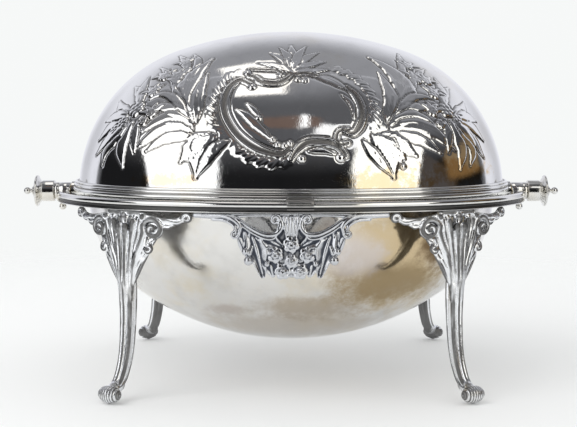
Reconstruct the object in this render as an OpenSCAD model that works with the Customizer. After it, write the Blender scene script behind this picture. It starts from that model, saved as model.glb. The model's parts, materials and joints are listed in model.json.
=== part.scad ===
// Revolving-cover serving dish in silver plate.
// An oval domed cover turns about a level axis between two end bearings and tucks itself under
// a fixed bowl. X runs along the pivot axis, the thumb-piece side is -Y, and Z = 0 is the table.

/* [Cover] */
// Height of the pivot axis above the table
axis_h = 119.5; // [114:0.5:122]
// Half the dome's length along the pivot axis
dome_a = 140; // [138:0.5:142]
// Dome radius at mid length
dome_b = 105; // [104:0.5:106]
// Radius of the dome outline's tighter end arcs
dome_end = 98; // [96:0.5:99]
// Thickness of the raised sheet
sheet = 1.2; // [1:0.1:1.5]
// Height of the cover's edge above the pivot axis
edge_lift = 1.5; // [1.5:0.1:2]
// Height of the reeded border round the cover
border_h = 6.5; // [6:0.1:7]
// How far the border stands out from the dome
border_out = 4; // [3.6:0.1:4]

/* [Frame ring] */
// Gap between the border and the ring
ring_gap = 2; // [2:0.1:2.6]
// Width of the ring's flat
ring_w = 8.5; // [8:0.1:9]
// Height of the ring's top above the pivot axis
ring_top = 1.2; // [0.8:0.1:1.2]
// Height of the ring's section
ring_h = 6.4; // [6:0.1:7]

/* [Pivots] */
// Radius of the fixed pivot pins
pin_r = 3; // [2.5:0.1:3.2]
// Running clearance round the pin in the cover's ears
pin_play = 0.05; // [0.03:0.01:0.08]
// Radius of the bearing housings
housing_r = 5.7; // [5.5:0.1:5.8]
// Radius of the cover's ears
ear_r = 6.5; // [6:0.1:6.5]
// Radius of the end knobs' flange
knob_r = 10.4; // [9:0.1:11]
// Radius of the lock screws' shank
screw_r = 1.3; // [1:0.1:1.5]

/* [Bowl and liner] */
// Half the bowl's length
bowl_a = 134; // [133:0.5:134]
// Bowl radius at mid length
bowl_b = 98; // [96:0.5:98]
// Radius of the bowl outline's end arcs
bowl_end = 81.5; // [80:0.5:82]
// Depth of the liner dish below its flange
liner_deep = 40; // [36:1:44]
// Depth of the drainer plate below the liner's flange
drainer_deep = 22; // [18:1:26]
// Spacing of the drainer's holes
hole_pitch = 14; // [13:0.5:16]

/* [Legs] */
// Distance along the ring from the leg's head to the tip of each scroll arm
arm_reach = 40; // [38:0.5:42]
// Azimuth of the legs, seen from the centre of the oval's end arc
leg_turn = 58.4; // [56:0.2:60]
// How far the toe stands out from the head
toe_out = 17; // [15:0.5:19]

/* [Hidden] */
$fn = 120;

LEFT = -1;
RIGHT = 1;
FRONT = -1;
REAR = 1;

polished = [0.80, 0.80, 0.79];
chased = [0.74, 0.74, 0.75];
cast = [0.62, 0.64, 0.68];
gilt = [0.84, 0.78, 0.62];

DOME = [dome_a, dome_b, dome_end];         // the outlines that mouldings follow
BOWL = [bowl_a, bowl_b, bowl_end];
foot_reed = 2.4;

big = 400;                                 // larger than the whole dish
ring_in = border_out + ring_gap;           // ring's inner edge, outward from the dome outline
ring_mid = ring_in + ring_w/2;
ring_out = ring_in + ring_w;
ring_base = ring_top - ring_h;             // ring's underside, from the axis

ear_in = dome_a - 2.8;                     // stations along the axis, from the centre outward
ear_out = dome_a + ring_in - 0.4;
washer_in = ear_out + 0.15;
washer_t = 0.5;
housing_in = washer_in + washer_t;
housing_len = 10.8;
knob_in = housing_in + housing_len;
barrel_len = 8.8;
flange_in = knob_in + barrel_len;
flange_t = 5.4;
knob_out = flange_in + flange_t;
ball_r = 2.4;
saddle_wall = 1.9;
screw_at = housing_in + 6;
screw_drop = 10.3;                         // centre of the screw's ball head, below the axis

boss_r = 6;
boss_in = bowl_a - 6.8;
boss_out = ear_in - 0.7;
pin_in = boss_in + 3.5;
liner_gap = 8;                             // liner wall inside the bowl wall, at the rim
liner_t = 1;
ledge_w = 8;
flange_h = 1;

// Radius of the flatter side arcs of an oval with half axes a and b and end arcs of radius e
function side_radius(a, b, e) = (b*b + (a - e)*(a - e) - e*e) / (2*(b - e));

// Four-centre oval with half axes a and b and end arcs of radius e
module oval(a, b, e) {
    side = side_radius(a, b, e);
    intersection() {
        translate([0, b - side]) circle(side);
        translate([0, side - b]) circle(side);
        square([2*side*(a - e)/(side - e), 4*b], center = true);
    }
    for (s = [LEFT, RIGHT]) translate([s*(a - e), 0]) circle(e);
}

// Slab between heights z0 and z1, its outline grown outward from an oval by the given amount
module slab(o, grow, z0, z1) {
    translate([0, 0, z0]) linear_extrude(z1 - z0) oval(o[0] + grow, o[1] + grow, o[2] + grow);
}

// Stack of slabs round an oval, cut through inside. Each step is [outward growth, bottom, top]
module moulding(o, inside, steps) {
    difference() {
        for (step = steps) slab(o, step[0], step[1], step[2]);
        slab(o, inside, steps[0][1] - 1, steps[len(steps) - 1][2] + 1);
    }
}

// Shell of thickness t just inside the solid of an oval turned about its long axis: the upper half,
// or the lower half if under
module spun_shell(a, b, e, t, under = false) {
    rotate([0, 90, 0]) rotate(under ? -90 : 90) rotate_extrude(angle = 180) intersection() {
        rotate(90) difference() {
            oval(a, b, e);
            oval(a - t, b - t, e - t);
        }
        translate([0, -a]) square([b, 2*a]);
    }
}

// Puts children in the axis frame, mirrored to one end of the dish
module on_axis(end = RIGHT) {
    translate([0, 0, axis_h]) mirror([end == LEFT ? 1 : 0, 0, 0]) children();
}

// Cylinder along the pivot axis, from station x0 to x1
module along(x0, x1, r) {
    translate([x0, 0, 0]) rotate([0, 90, 0]) cylinder(r = r, h = x1 - x0);
}

// Children at both ends of the dish
module both_ends() {
    children();
    mirror([1, 0, 0]) children();
}

// ---- Frame ----

// Flat-topped ring with a hollow round its outer face, and a saddle under each bearing housing
module frame_ring() color(polished) on_axis() difference() {
    lip = 1.5;
    bead = 2;
    hollow = 1.2;
    union() {
        moulding(DOME, ring_in, [
            [ring_out, ring_base, ring_base + bead],
            [ring_out - hollow, ring_base + bead, ring_top - lip],
            [ring_out, ring_top - lip, ring_top]
        ]);
        both_ends() difference() {
            along(housing_in, housing_in + 9, housing_r + saddle_wall);
            translate([0, -big/2, ring_top]) cube([big, big, big]);
        }
    }
    both_ends() {
        along(dome_a, housing_in, ear_r + 0.6);
        along(housing_in, knob_in, housing_r);
        translate([screw_at, 0, -big]) cylinder(r = screw_r, h = big);
    }
}

module bearing_housing(end) color(polished) on_axis(end) difference() {
    along(housing_in, knob_in, housing_r);
    along(housing_in - 1, knob_in + 1, pin_r);
    translate([screw_at, 0, -housing_r - 1]) cylinder(r = screw_r, h = housing_r);
}

module pivot_pin(end) color(cast) on_axis(end) along(pin_in, flange_in, pin_r);

module thrust_washer(end) color(gilt) on_axis(end) difference() {
    along(washer_in, housing_in, housing_r - 0.5);
    along(washer_in - 1, housing_in + 1, pin_r);
}

// End knob: a plain barrel flared into a lens-shaped flange, bored for the pin and for the finial's stem
module end_knob(end) color(polished) on_axis(end) difference() {
    barrel_r = 7;
    shoulder = 0.8;                        // bevel of the barrel's inner end
    edge = 1.2;                            // width of the flange's flat edge
    edge_at = flange_in + 2.4;
    union() {
        translate([knob_in, 0, 0]) rotate([0, 90, 0])
            cylinder(r1 = barrel_r - shoulder, r2 = barrel_r, h = shoulder);
        along(knob_in + shoulder, flange_in, barrel_r);
        translate([flange_in, 0, 0]) rotate([0, 90, 0])
            cylinder(r1 = barrel_r, r2 = knob_r, h = edge_at - flange_in);
        along(edge_at, edge_at + edge, knob_r);
        translate([edge_at + edge, 0, 0]) rotate([0, 90, 0])
            cylinder(r1 = knob_r, r2 = 5, h = knob_out - edge_at - edge);
    }
    along(knob_in - 1, flange_in, pin_r);
    along(flange_in - 1, knob_out + 1, screw_r);
}

module finial(end) color(polished) on_axis(end) {
    along(flange_in, knob_out + 3.5, screw_r);
    translate([knob_out + 2 + ball_r, 0, 0]) sphere(ball_r);
}

module lock_screw(end) color(polished) on_axis(end) translate([screw_at, 0, 0]) {
    translate([0, 0, -screw_drop]) cylinder(r = screw_r, h = screw_drop - pin_r);
    translate([0, 0, -screw_drop]) sphere(ball_r);
}

// ---- Legs ----

leg_foot_r = 5.2;
fan_half = 15;                             // fluted fan that joins the shaft to the ring
fan_t = 5;
volute_r = 6.3;                            // scrolls at either side of the fan
volute_at = 17.5;
arm_w = 4;                                 // scroll arms that run on under the ring
// Leg centre line: distance out from the ring's middle, height, and half thickness
leg_line = [[0.5, 86, 6.2], [-1.5, 67, 5.4], [-1.5, 48, 4.8], [0.8, 28, 4.2], [6, 13.5, 4], [toe_out - 2, 7, 4.2]];

// Bar under the ring, between two distances along it from the leg's head
module arm(s0, s1) {
    r = dome_end + ring_mid;
    translate([dome_a - dome_end, 0, axis_h + ring_base - arm_w])
        rotate(leg_turn + s0/r*180/PI) rotate_extrude(angle = (s1 - s0)/r*180/PI)
            translate([r - arm_w/2, 0]) square(arm_w);
}

module leg(end, side) {
    r = dome_end + ring_mid;
    color(cast) mirror([end == LEFT ? 1 : 0, 0, 0]) mirror([0, side == FRONT ? 1 : 0, 0]) {
        arm(-arm_reach, -fan_half);
        arm(fan_half, arm_reach);
        translate([dome_a - dome_end, 0, 0]) for (s = [LEFT, RIGHT]) rotate(leg_turn + s*volute_at/r*180/PI)
            translate([r - fan_t/2, 0, axis_h + ring_base - volute_r - 2]) rotate([0, 90, 0])
                cylinder(r = volute_r, h = fan_t);
        translate([dome_a - dome_end, 0, 0]) rotate(leg_turn) translate([r, 0, 0]) {
            hull() {
                translate([0, -fan_half, axis_h + ring_base - 1]) cube([fan_t, 2*fan_half, 1]);
                translate([leg_line[0][0], 0, leg_line[0][1]]) sphere(leg_line[0][2], $fn = 24);
            }
            for (i = [1 : len(leg_line) - 1]) hull() for (p = [leg_line[i - 1], leg_line[i]])
                translate([p[0], 0, p[1]]) sphere(p[2], $fn = 24);
            translate([toe_out, 0, leg_foot_r + 0.4]) rotate([90, 0, 0])
                cylinder(r = leg_foot_r, h = 11.4, center = true);
            translate([toe_out, 0, 0]) cylinder(r = 3.5, h = leg_foot_r);
        }
    }
}

// ---- Festoons under the long sides of the ring ----

festoon_t = 3.6;

// Puts children under the ring's middle, a distance s along the long side from its centre
module under_side(s) {
    side = side_radius(dome_a, dome_b, dome_end) + ring_mid;
    translate([0, dome_b + ring_mid - side, axis_h]) rotate(-s/side*180/PI) translate([0, side, 0]) children();
}

// Leaf: the lens between two circles, long and wide, tilted in the face of the festoon
module leaf(long, wide, tilt) {
    r = (long*long + wide*wide)/(4*wide);
    rotate([90, 0, 0]) rotate(tilt) translate([long/2, 0, 0])
        linear_extrude(festoon_t, center = true) intersection() {
            translate([0, r - wide/2]) circle(r);
            translate([0, wide/2 - r]) circle(r);
        }
}

module flower(r) {
    for (k = [0 : 4]) rotate([0, 72*k + 18, 0]) translate([r*0.6, 0, 0]) sphere(r*0.5);
    sphere(r*0.5);
}

module scroll(r, from, sweep) {
    rotate([90, 0, 0]) rotate(from) rotate_extrude(angle = sweep) translate([r, 0]) circle(festoon_t/2);
}

module festoon(side) color(cast) mirror([0, side == FRONT ? 1 : 0, 0]) {
    bar_half = 57;
    bar_deg = bar_half/(side_radius(dome_a, dome_b, dome_end) + ring_mid)*180/PI;
    drop = ring_base - 4;
    translate([0, dome_b + ring_mid - side_radius(dome_a, dome_b, dome_end) - ring_mid, axis_h])
        rotate(90 - bar_deg) rotate_extrude(angle = 2*bar_deg)
            translate([side_radius(dome_a, dome_b, dome_end) + ring_mid - 1.6, drop]) square([3.2, 4]);
    for (h = [LEFT, RIGHT]) mirror([h == LEFT ? 1 : 0, 0, 0]) {
        under_side(31) translate([0, 0, drop - 6]) scroll(6.5, 60, 250);
        under_side(11) translate([0, 0, drop - 3.2]) scroll(3.4, -90, 270);
        under_side(27) translate([0, 0, drop - 10]) leaf(26, 9, -86);
        under_side(8) translate([0, 0, drop - 12]) leaf(30, 10, -40);
        under_side(6) translate([0, 0, drop - 20]) leaf(26, 9, -62);
        under_side(24) translate([0, 0, drop - 33]) sphere(3);
    }
    under_side(0) translate([0, 0.8, drop]) {
        translate([0, -0.8, 1.5]) leaf(16, 12, -90);
        translate([0, 1, -28]) flower(7.6);
        translate([0, 0, -18]) flower(5);
        translate([-8.5, 0.4, -24]) flower(4.4);
        translate([8, 0.4, -24]) flower(4.4);
    }
}

// ---- Bowl, liner and drainer ----

module bowl() color(polished) on_axis() difference() {
    spun_shell(bowl_a, bowl_b, bowl_end, sheet, under = true);
    both_ends() along(boss_in, boss_out, boss_r);
}

module bowl_rim() color(polished) on_axis() difference() {
    moulding(BOWL, 0, [[1.6, -2.4, 0]]);
    both_ends() along(boss_in, boss_out + 2, boss_r);
}

module bowl_boss(end) color(polished) on_axis(end) difference() {
    along(boss_in, boss_out, boss_r);
    along(pin_in, boss_out + 1, pin_r);
}

// Room in the flange for the bowl's end bosses
module boss_notches() both_ends() along(boss_in - 0.6, boss_out + 2, boss_r + 0.4);

// Dish with a flange on the bowl's rim, an upper wall, and a ledge round a narrower well
module liner_dish() color(polished) on_axis() difference() {
    brim = 0.5;
    union() {
        slab(BOWL, -liner_gap - ledge_w, -liner_deep, -drainer_deep);
        slab(BOWL, -liner_gap, -drainer_deep - liner_t, 0);
        slab(BOWL, -brim, 0, flange_h);
    }
    slab(BOWL, -liner_gap - ledge_w - liner_t, liner_t - liner_deep, 0);
    slab(BOWL, -liner_gap - liner_t, -drainer_deep, flange_h + 1);
    boss_notches();
}

module liner_border() color(polished) on_axis() difference() {
    bead = 1.2;
    moulding(BOWL, -2.6, [[-0.9, flange_h, flange_h + bead]]);
    boss_notches();
}

// Pierced plate that lies on the liner's ledge, with two finger holes
module drainer() color(polished) on_axis() {
    play = 0.5;
    inset = liner_gap + liner_t + play;
    plate_t = 1.2;
    hole_r = 2;
    finger_r = 8;
    finger_at = 84;
    rows = 4;
    translate([0, 0, -drainer_deep]) linear_extrude(plate_t) difference() {
        oval(bowl_a - inset, bowl_b - inset, bowl_end - inset);
        for (i = [-6 : 6], j = [-rows : rows])
            let (x = (i + (j % 2 == 0 ? 0 : 0.5))*hole_pitch, y = j*hole_pitch*0.87)
                if (norm([x/100, y/66]) < 1 && norm([abs(x) - finger_at, y]) > finger_r + 2*hole_r)
                    translate([x, y]) circle(hole_r, $fn = 24);
        for (s = [LEFT, RIGHT]) translate([s*finger_at, 0]) circle(finger_r);
    }
}

// ---- Cover ----

module lid_dome() color(chased) on_axis() difference() {
    spun_shell(dome_a, dome_b, dome_end, sheet);
    translate([-big/2, -big/2, edge_lift - big]) cube(big);
    both_ends() along(ear_in - 1, ear_out, ear_r);
}

// Stepped border: a broad reed at the foot, a groove, and two finer reeds above it
module lid_border() color(chased) on_axis() difference() {
    top = edge_lift + border_h;
    moulding(DOME, 0, [
        [border_out, edge_lift, edge_lift + foot_reed],
        [border_out - 1.2, edge_lift + foot_reed, top - 3.4],
        [border_out - 0.6, top - 3.4, top - 1.8],
        [border_out - 1.4, top - 1.8, top]
    ]);
    both_ends() along(ear_in - 1, ear_out, ear_r);
}

module lid_ear(end) color(chased) on_axis(end) difference() {
    along(ear_in, ear_out, ear_r);
    along(ear_in - 1, ear_out + 1, pin_r + pin_play);
}

// Scooped tab in section: it leaves the border, bridges the ring and hangs over its outer edge
module thumb_section() {
    tab_t = 1.7;
    over_ring = 0.35;
    tip = ring_out + over_ring + tab_t;
    tip_r = 0.9;
    scoop_r = 7;
    top = edge_lift + foot_reed;
    difference() {
        translate([border_out, tip_r - 4.5]) square([tip - border_out, top + 4.5 - tip_r]);
        translate([0, ring_top + over_ring - big]) square([ring_out + over_ring, big]);
        translate([tip + 5.6, top + 0.6]) circle(scoop_r);
    }
    translate([tip - tip_r, -4]) circle(tip_r);
}

// Tab on the front border that stops the turn at either end
module thumb_piece() color(chased) {
    tab_w = 16;
    tab_at = 5;
    side = side_radius(dome_a, dome_b, dome_end);
    half_turn = tab_w/2/(side + ring_mid)*180/PI;
    translate([0, side - dome_b, axis_h]) rotate(tab_at/(side + ring_mid)*180/PI - 90 - half_turn)
        rotate_extrude(angle = 2*half_turn) translate([side, 0]) thumb_section();
}

frame_ring();
bearing_housing(LEFT);  // bearing_housing_left
bearing_housing(RIGHT);  // bearing_housing_right
pivot_pin(LEFT);  // pivot_pin_left
pivot_pin(RIGHT);  // pivot_pin_right
thrust_washer(LEFT);  // thrust_washer_left
thrust_washer(RIGHT);  // thrust_washer_right
end_knob(LEFT);  // end_knob_left
end_knob(RIGHT);  // end_knob_right
finial(LEFT);  // finial_left
finial(RIGHT);  // finial_right
lock_screw(LEFT);  // lock_screw_left
lock_screw(RIGHT);  // lock_screw_right
leg(LEFT, FRONT);  // leg_front_left
leg(RIGHT, FRONT);  // leg_front_right
leg(LEFT, REAR);  // leg_rear_left
leg(RIGHT, REAR);  // leg_rear_right
festoon(FRONT);  // festoon_front
festoon(REAR);  // festoon_rear
bowl();
bowl_rim();
bowl_boss(LEFT);  // bowl_boss_left
bowl_boss(RIGHT);  // bowl_boss_right
liner_dish();
liner_border();
drainer();
lid_dome();
lid_border();
lid_ear(LEFT);  // lid_ear_left
lid_ear(RIGHT);  // lid_ear_right
thumb_piece();
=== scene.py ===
"""Looks of the revolving-cover serving dish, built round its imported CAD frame.

Shapes are worked out in millimetres in the CAD frame and scaled to metres when a mesh is made.
X runs along the pivot axis, the thumb-piece side is -Y, and Z = 0 is the table.
"""
import json
import math

import bmesh
import bpy
import numpy as np
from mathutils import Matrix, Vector


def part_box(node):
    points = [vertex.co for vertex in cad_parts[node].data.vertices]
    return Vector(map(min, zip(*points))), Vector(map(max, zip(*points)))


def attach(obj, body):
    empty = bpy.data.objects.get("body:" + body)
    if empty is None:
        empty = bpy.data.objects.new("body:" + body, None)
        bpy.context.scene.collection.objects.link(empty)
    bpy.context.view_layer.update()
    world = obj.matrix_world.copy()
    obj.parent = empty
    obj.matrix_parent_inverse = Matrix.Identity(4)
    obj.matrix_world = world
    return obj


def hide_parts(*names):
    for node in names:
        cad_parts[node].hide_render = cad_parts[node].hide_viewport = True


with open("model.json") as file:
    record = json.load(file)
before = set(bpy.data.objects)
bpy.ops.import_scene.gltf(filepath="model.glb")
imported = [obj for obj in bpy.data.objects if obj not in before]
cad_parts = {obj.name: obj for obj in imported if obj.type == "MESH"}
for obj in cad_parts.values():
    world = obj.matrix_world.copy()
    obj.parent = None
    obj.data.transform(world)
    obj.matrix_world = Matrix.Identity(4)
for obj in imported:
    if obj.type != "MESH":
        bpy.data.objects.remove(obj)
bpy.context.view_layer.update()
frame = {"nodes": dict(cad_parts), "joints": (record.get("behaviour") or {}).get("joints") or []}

MM = 0.001
AXIS = frame["joints"][0]["pos_m"][2] / MM    # height of the pivot axis above the table


def low(node):
    """Lowest corner of a CAD node, in millimetres."""
    return np.array(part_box(node)[0]) / MM


def high(node):
    """Highest corner of a CAD node, in millimetres."""
    return np.array(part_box(node)[1]) / MM


# ---------------------------------------------------------------- outlines

class Oval:
    """Four-centre oval: half axes a and b, end arcs of radius e and side arcs of radius s."""

    def __init__(self, a, b, e):
        self.a, self.b, self.e = a, b, e
        self.s = (b * b + (a - e) ** 2 - e * e) / (2 * (b - e))
        self.meet = math.atan2(self.s - b, a - e)

    def half_width(self, x):
        """Distance from the long axis to the outline at x."""
        x = np.abs(x)
        join = (self.a - self.e) * self.s / (self.s - self.e)
        side = np.sqrt(np.maximum(self.s ** 2 - x ** 2, 0)) + self.b - self.s
        end = np.sqrt(np.maximum(self.e ** 2 - (x - self.a + self.e) ** 2, 0))
        return np.where(x < join, side, end)

    def turns(self, step):
        """Directions of the outline's normal over half the outline, about step apart along it."""
        end = np.linspace(0, self.meet, max(4, int(self.e * self.meet / step)), endpoint=False)
        rest = math.pi / 2 - self.meet
        side = np.linspace(self.meet, math.pi / 2, max(4, int(self.s * rest / step)), endpoint=False)
        quarter = np.concatenate([end, side])
        return np.concatenate([quarter, [math.pi / 2], math.pi - quarter[::-1]])

    def at(self, turn, grow=0.0):
        """Points of the outline, grown outward, where its normal points along turn."""
        c, s = np.cos(turn), np.sin(turn)
        on_end = np.abs(s) < math.sin(self.meet)
        centre_x = np.where(on_end, np.sign(c) * (self.a - self.e), 0)
        centre_y = np.where(on_end, 0, np.sign(s) * (self.b - self.s))
        r = np.where(on_end, self.e, self.s) + grow
        return np.stack([centre_x + r * c, centre_y + r * s], -1)


def long_oval(b, longer, tighter):
    """Oval of half width b that is longer by a stretch and has end arcs a little tighter than b."""
    return Oval(b + longer, b, b - tighter)


DOME = long_oval(high("lid_dome")[1], 35, 7)
BOWL = long_oval(high("bowl")[1], 36, 16.5)
SHEET = 1.2
# heights above the pivot axis
EDGE = low("lid_border")[2] - AXIS
BORDER_TOP = high("lid_border")[2] - AXIS
RING_TOP, RING_BASE = 1.2, -5.2
# distances outward from the dome's outline
RING_IN, RING_OUT = 6.0, high("frame_ring")[1] - DOME.b
RING_MID = (RING_IN + RING_OUT) / 2


# ---------------------------------------------------------------- mesh tools

def mesh_object(name, verts, faces, smooth=True):
    """A mesh object from points in millimetres."""
    mesh = bpy.data.meshes.new(name)
    mesh.from_pydata((np.asarray(verts, float) * MM).tolist(), [], faces)
    mesh.update()
    mesh.polygons.foreach_set("use_smooth", [smooth] * len(mesh.polygons))
    ob = bpy.data.objects.new(name, mesh)
    bpy.context.scene.collection.objects.link(ob)
    return ob


def grid_faces(rows, cols, wrap_rows=False, wrap_cols=False, start=0, flip=False):
    """Quads over a rows by cols grid of points."""
    r, c = np.meshgrid(np.arange(rows if wrap_rows else rows - 1),
                       np.arange(cols if wrap_cols else cols - 1), indexing="ij")
    r, c = r.ravel(), c.ravel()
    r1, c1 = (r + 1) % rows, (c + 1) % cols
    quads = np.stack([r * cols + c, r * cols + c1, r1 * cols + c1, r1 * cols + c], -1) + start
    return (quads[:, ::-1] if flip else quads).tolist()


def weld(ob, gap=0.01):
    """Merges points closer than gap and makes the normals agree."""
    bm = bmesh.new()
    bm.from_mesh(ob.data)
    bmesh.ops.remove_doubles(bm, verts=bm.verts, dist=gap * MM)
    bmesh.ops.dissolve_degenerate(bm, dist=0.001 * MM, edges=bm.edges)
    bmesh.ops.recalc_face_normals(bm, faces=bm.faces)
    bm.to_mesh(ob.data)
    bm.free()
    return ob


def read_points(mesh, key="co"):
    """Place or normal of every vertex of a mesh, one row each."""
    values = np.empty(len(mesh.vertices) * 3)
    mesh.vertices.foreach_get(key, values)
    return values.reshape(-1, 3)


def write_points(mesh, points):
    """Moves the vertices of a mesh."""
    mesh.vertices.foreach_set("co", points.ravel())


def write_recess(mesh, values):
    """Stores how hollow each vertex is, from 0 to 1, for the materials."""
    mesh.attributes.new("recess", "FLOAT", "POINT").data.foreach_set("value", values)


def every_nth(rows, n):
    """Every n-th row of points, and always the last one."""
    picked = rows[::n]
    return np.concatenate([picked, rows[-1:]]) if (len(rows) - 1) % n else picked


def apply_modifiers(ob):
    """Turns the object's modifiers into its mesh."""
    graph = bpy.context.evaluated_depsgraph_get()
    mesh = bpy.data.meshes.new_from_object(ob.evaluated_get(graph))
    ob.modifiers.clear()
    ob.data = mesh
    return ob


def curve_through(points, count):
    """Smooth curve (Catmull-Rom) through a few points, as count points."""
    p = np.asarray(points, float)
    if len(p) == 2:
        return p[0] + (p[1] - p[0]) * np.linspace(0, 1, count)[:, None]
    p = np.vstack([2 * p[0] - p[1], p, 2 * p[-1] - p[-2]])
    t = np.linspace(0, len(p) - 3 - 1e-9, count)
    i = t.astype(int)
    f = (t - i)[:, None]
    a, b, c, d = p[i], p[i + 1], p[i + 2], p[i + 3]
    return 0.5 * (2 * b + (c - a) * f + (2 * a - 5 * b + 4 * c - d) * f ** 2
                  + (3 * b - a - 3 * c + d) * f ** 3)


def arc(cx, cy, r, start, stop, steps=9):
    """Points of an arc, angles in degrees."""
    t = np.radians(np.linspace(start, stop, steps))
    return np.stack([cx + r * np.cos(t), cy + r * np.sin(t)], -1).tolist()


def full_round(oval, step):
    """Directions of the outline's normal all the way round."""
    half = oval.turns(step)
    return np.concatenate([half[:-1], half[:-1] + math.pi])


def round_oval(name, oval, section):
    """Carries a closed section of (outward, height above the axis) round an oval outline."""
    turns = full_round(oval, 1.5)
    section = np.asarray(section, float)
    xy = np.stack([oval.at(turns, out) for out, _ in section], 1)
    z = np.broadcast_to(AXIS + section[:, 1], xy.shape[:2])[..., None]
    verts = np.concatenate([xy, z], -1).reshape(-1, 3)
    ob = mesh_object(name, verts, grid_faces(len(turns), len(section), True, True))
    # concave corners of the section are marked as hollows, which the materials paint with shade and tarnish
    before, after = section - np.roll(section, 1, 0), np.roll(section, -1, 0) - section
    hollow = before[:, 0] * after[:, 1] - before[:, 1] * after[:, 0] < -1e-3
    hollow |= np.roll(hollow, 1) & np.roll(hollow, -1)
    write_recess(ob.data, np.tile(hollow.astype(float), len(turns)))
    return weld(ob)


def lathe(name, profile, end=1, sides=96, upright_at=None):
    """Turns (station, radius) points about the pivot axis, or about an upright axis at x = upright_at."""
    profile = np.asarray(profile, float)
    a = np.linspace(0, 2 * math.pi, sides, endpoint=False)
    along = np.repeat(profile[:, 0], sides)
    r = np.repeat(profile[:, 1], sides)
    u, v = r * np.tile(np.cos(a), len(profile)), r * np.tile(np.sin(a), len(profile))
    if upright_at is None:
        verts = np.stack([end * along, u, AXIS + v], -1)
    else:
        verts = np.stack([end * upright_at + u, v, AXIS + along], -1)
    return weld(mesh_object(name, verts, grid_faces(len(profile), sides, False, True)), 0.001)


def spun_grid(oval, turns, angles):
    """Points and outward normals of an oval turned about X: one row for each angle."""
    xy = oval.at(turns)
    g = angles[:, None]
    x, r = xy[:, 0][None, :], np.abs(xy[:, 1])[None, :]
    across = np.abs(np.sin(turns))[None, :]
    points = np.stack([x + 0 * g, -r * np.cos(g), r * np.sin(g)], -1)
    normals = np.stack([np.cos(turns)[None, :] + 0 * g, -across * np.cos(g), across * np.sin(g)], -1)
    return points, normals


def shell(name, outer, inner, recess=None):
    """Closed sheet between two grids of points with the same columns, joined at first and last rows."""
    rows, cols = outer.shape[:2]
    deep = inner.shape[0]
    inside = rows * cols
    faces = grid_faces(rows, cols) + grid_faces(deep, cols, start=inside, flip=True)
    for top, under, flip in ((0, inside, True), ((rows - 1) * cols, inside + (deep - 1) * cols, False)):
        for c in range(cols - 1):
            quad = [top + c, top + c + 1, under + c + 1, under + c]
            faces.append(quad[::-1] if flip else quad)
    verts = np.concatenate([outer.reshape(-1, 3), inner.reshape(-1, 3)])
    verts[:, 2] += AXIS
    ob = mesh_object(name, verts, faces)
    if recess is not None:
        write_recess(ob.data, np.concatenate([recess.ravel(), np.zeros(deep * cols)]))
    return weld(ob, 0.02)


# ---------------------------------------------------------------- chasing

def bell(x, wide):
    """1 where x is 0, falling off smoothly on both sides."""
    return np.exp(-(x / wide) ** 2)


def half_round(q):
    """Height of a half circle of radius 1 at a distance q from its middle, and 0 beyond it."""
    return np.sqrt(np.maximum(1 - q ** 2, 0))


RELIEF_SCALE = 0.8    # height of the chasing compared with how it is drawn
PANEL_DROP = 0.055    # how much lower the panel sits than its drawing, as a share of its height


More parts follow.
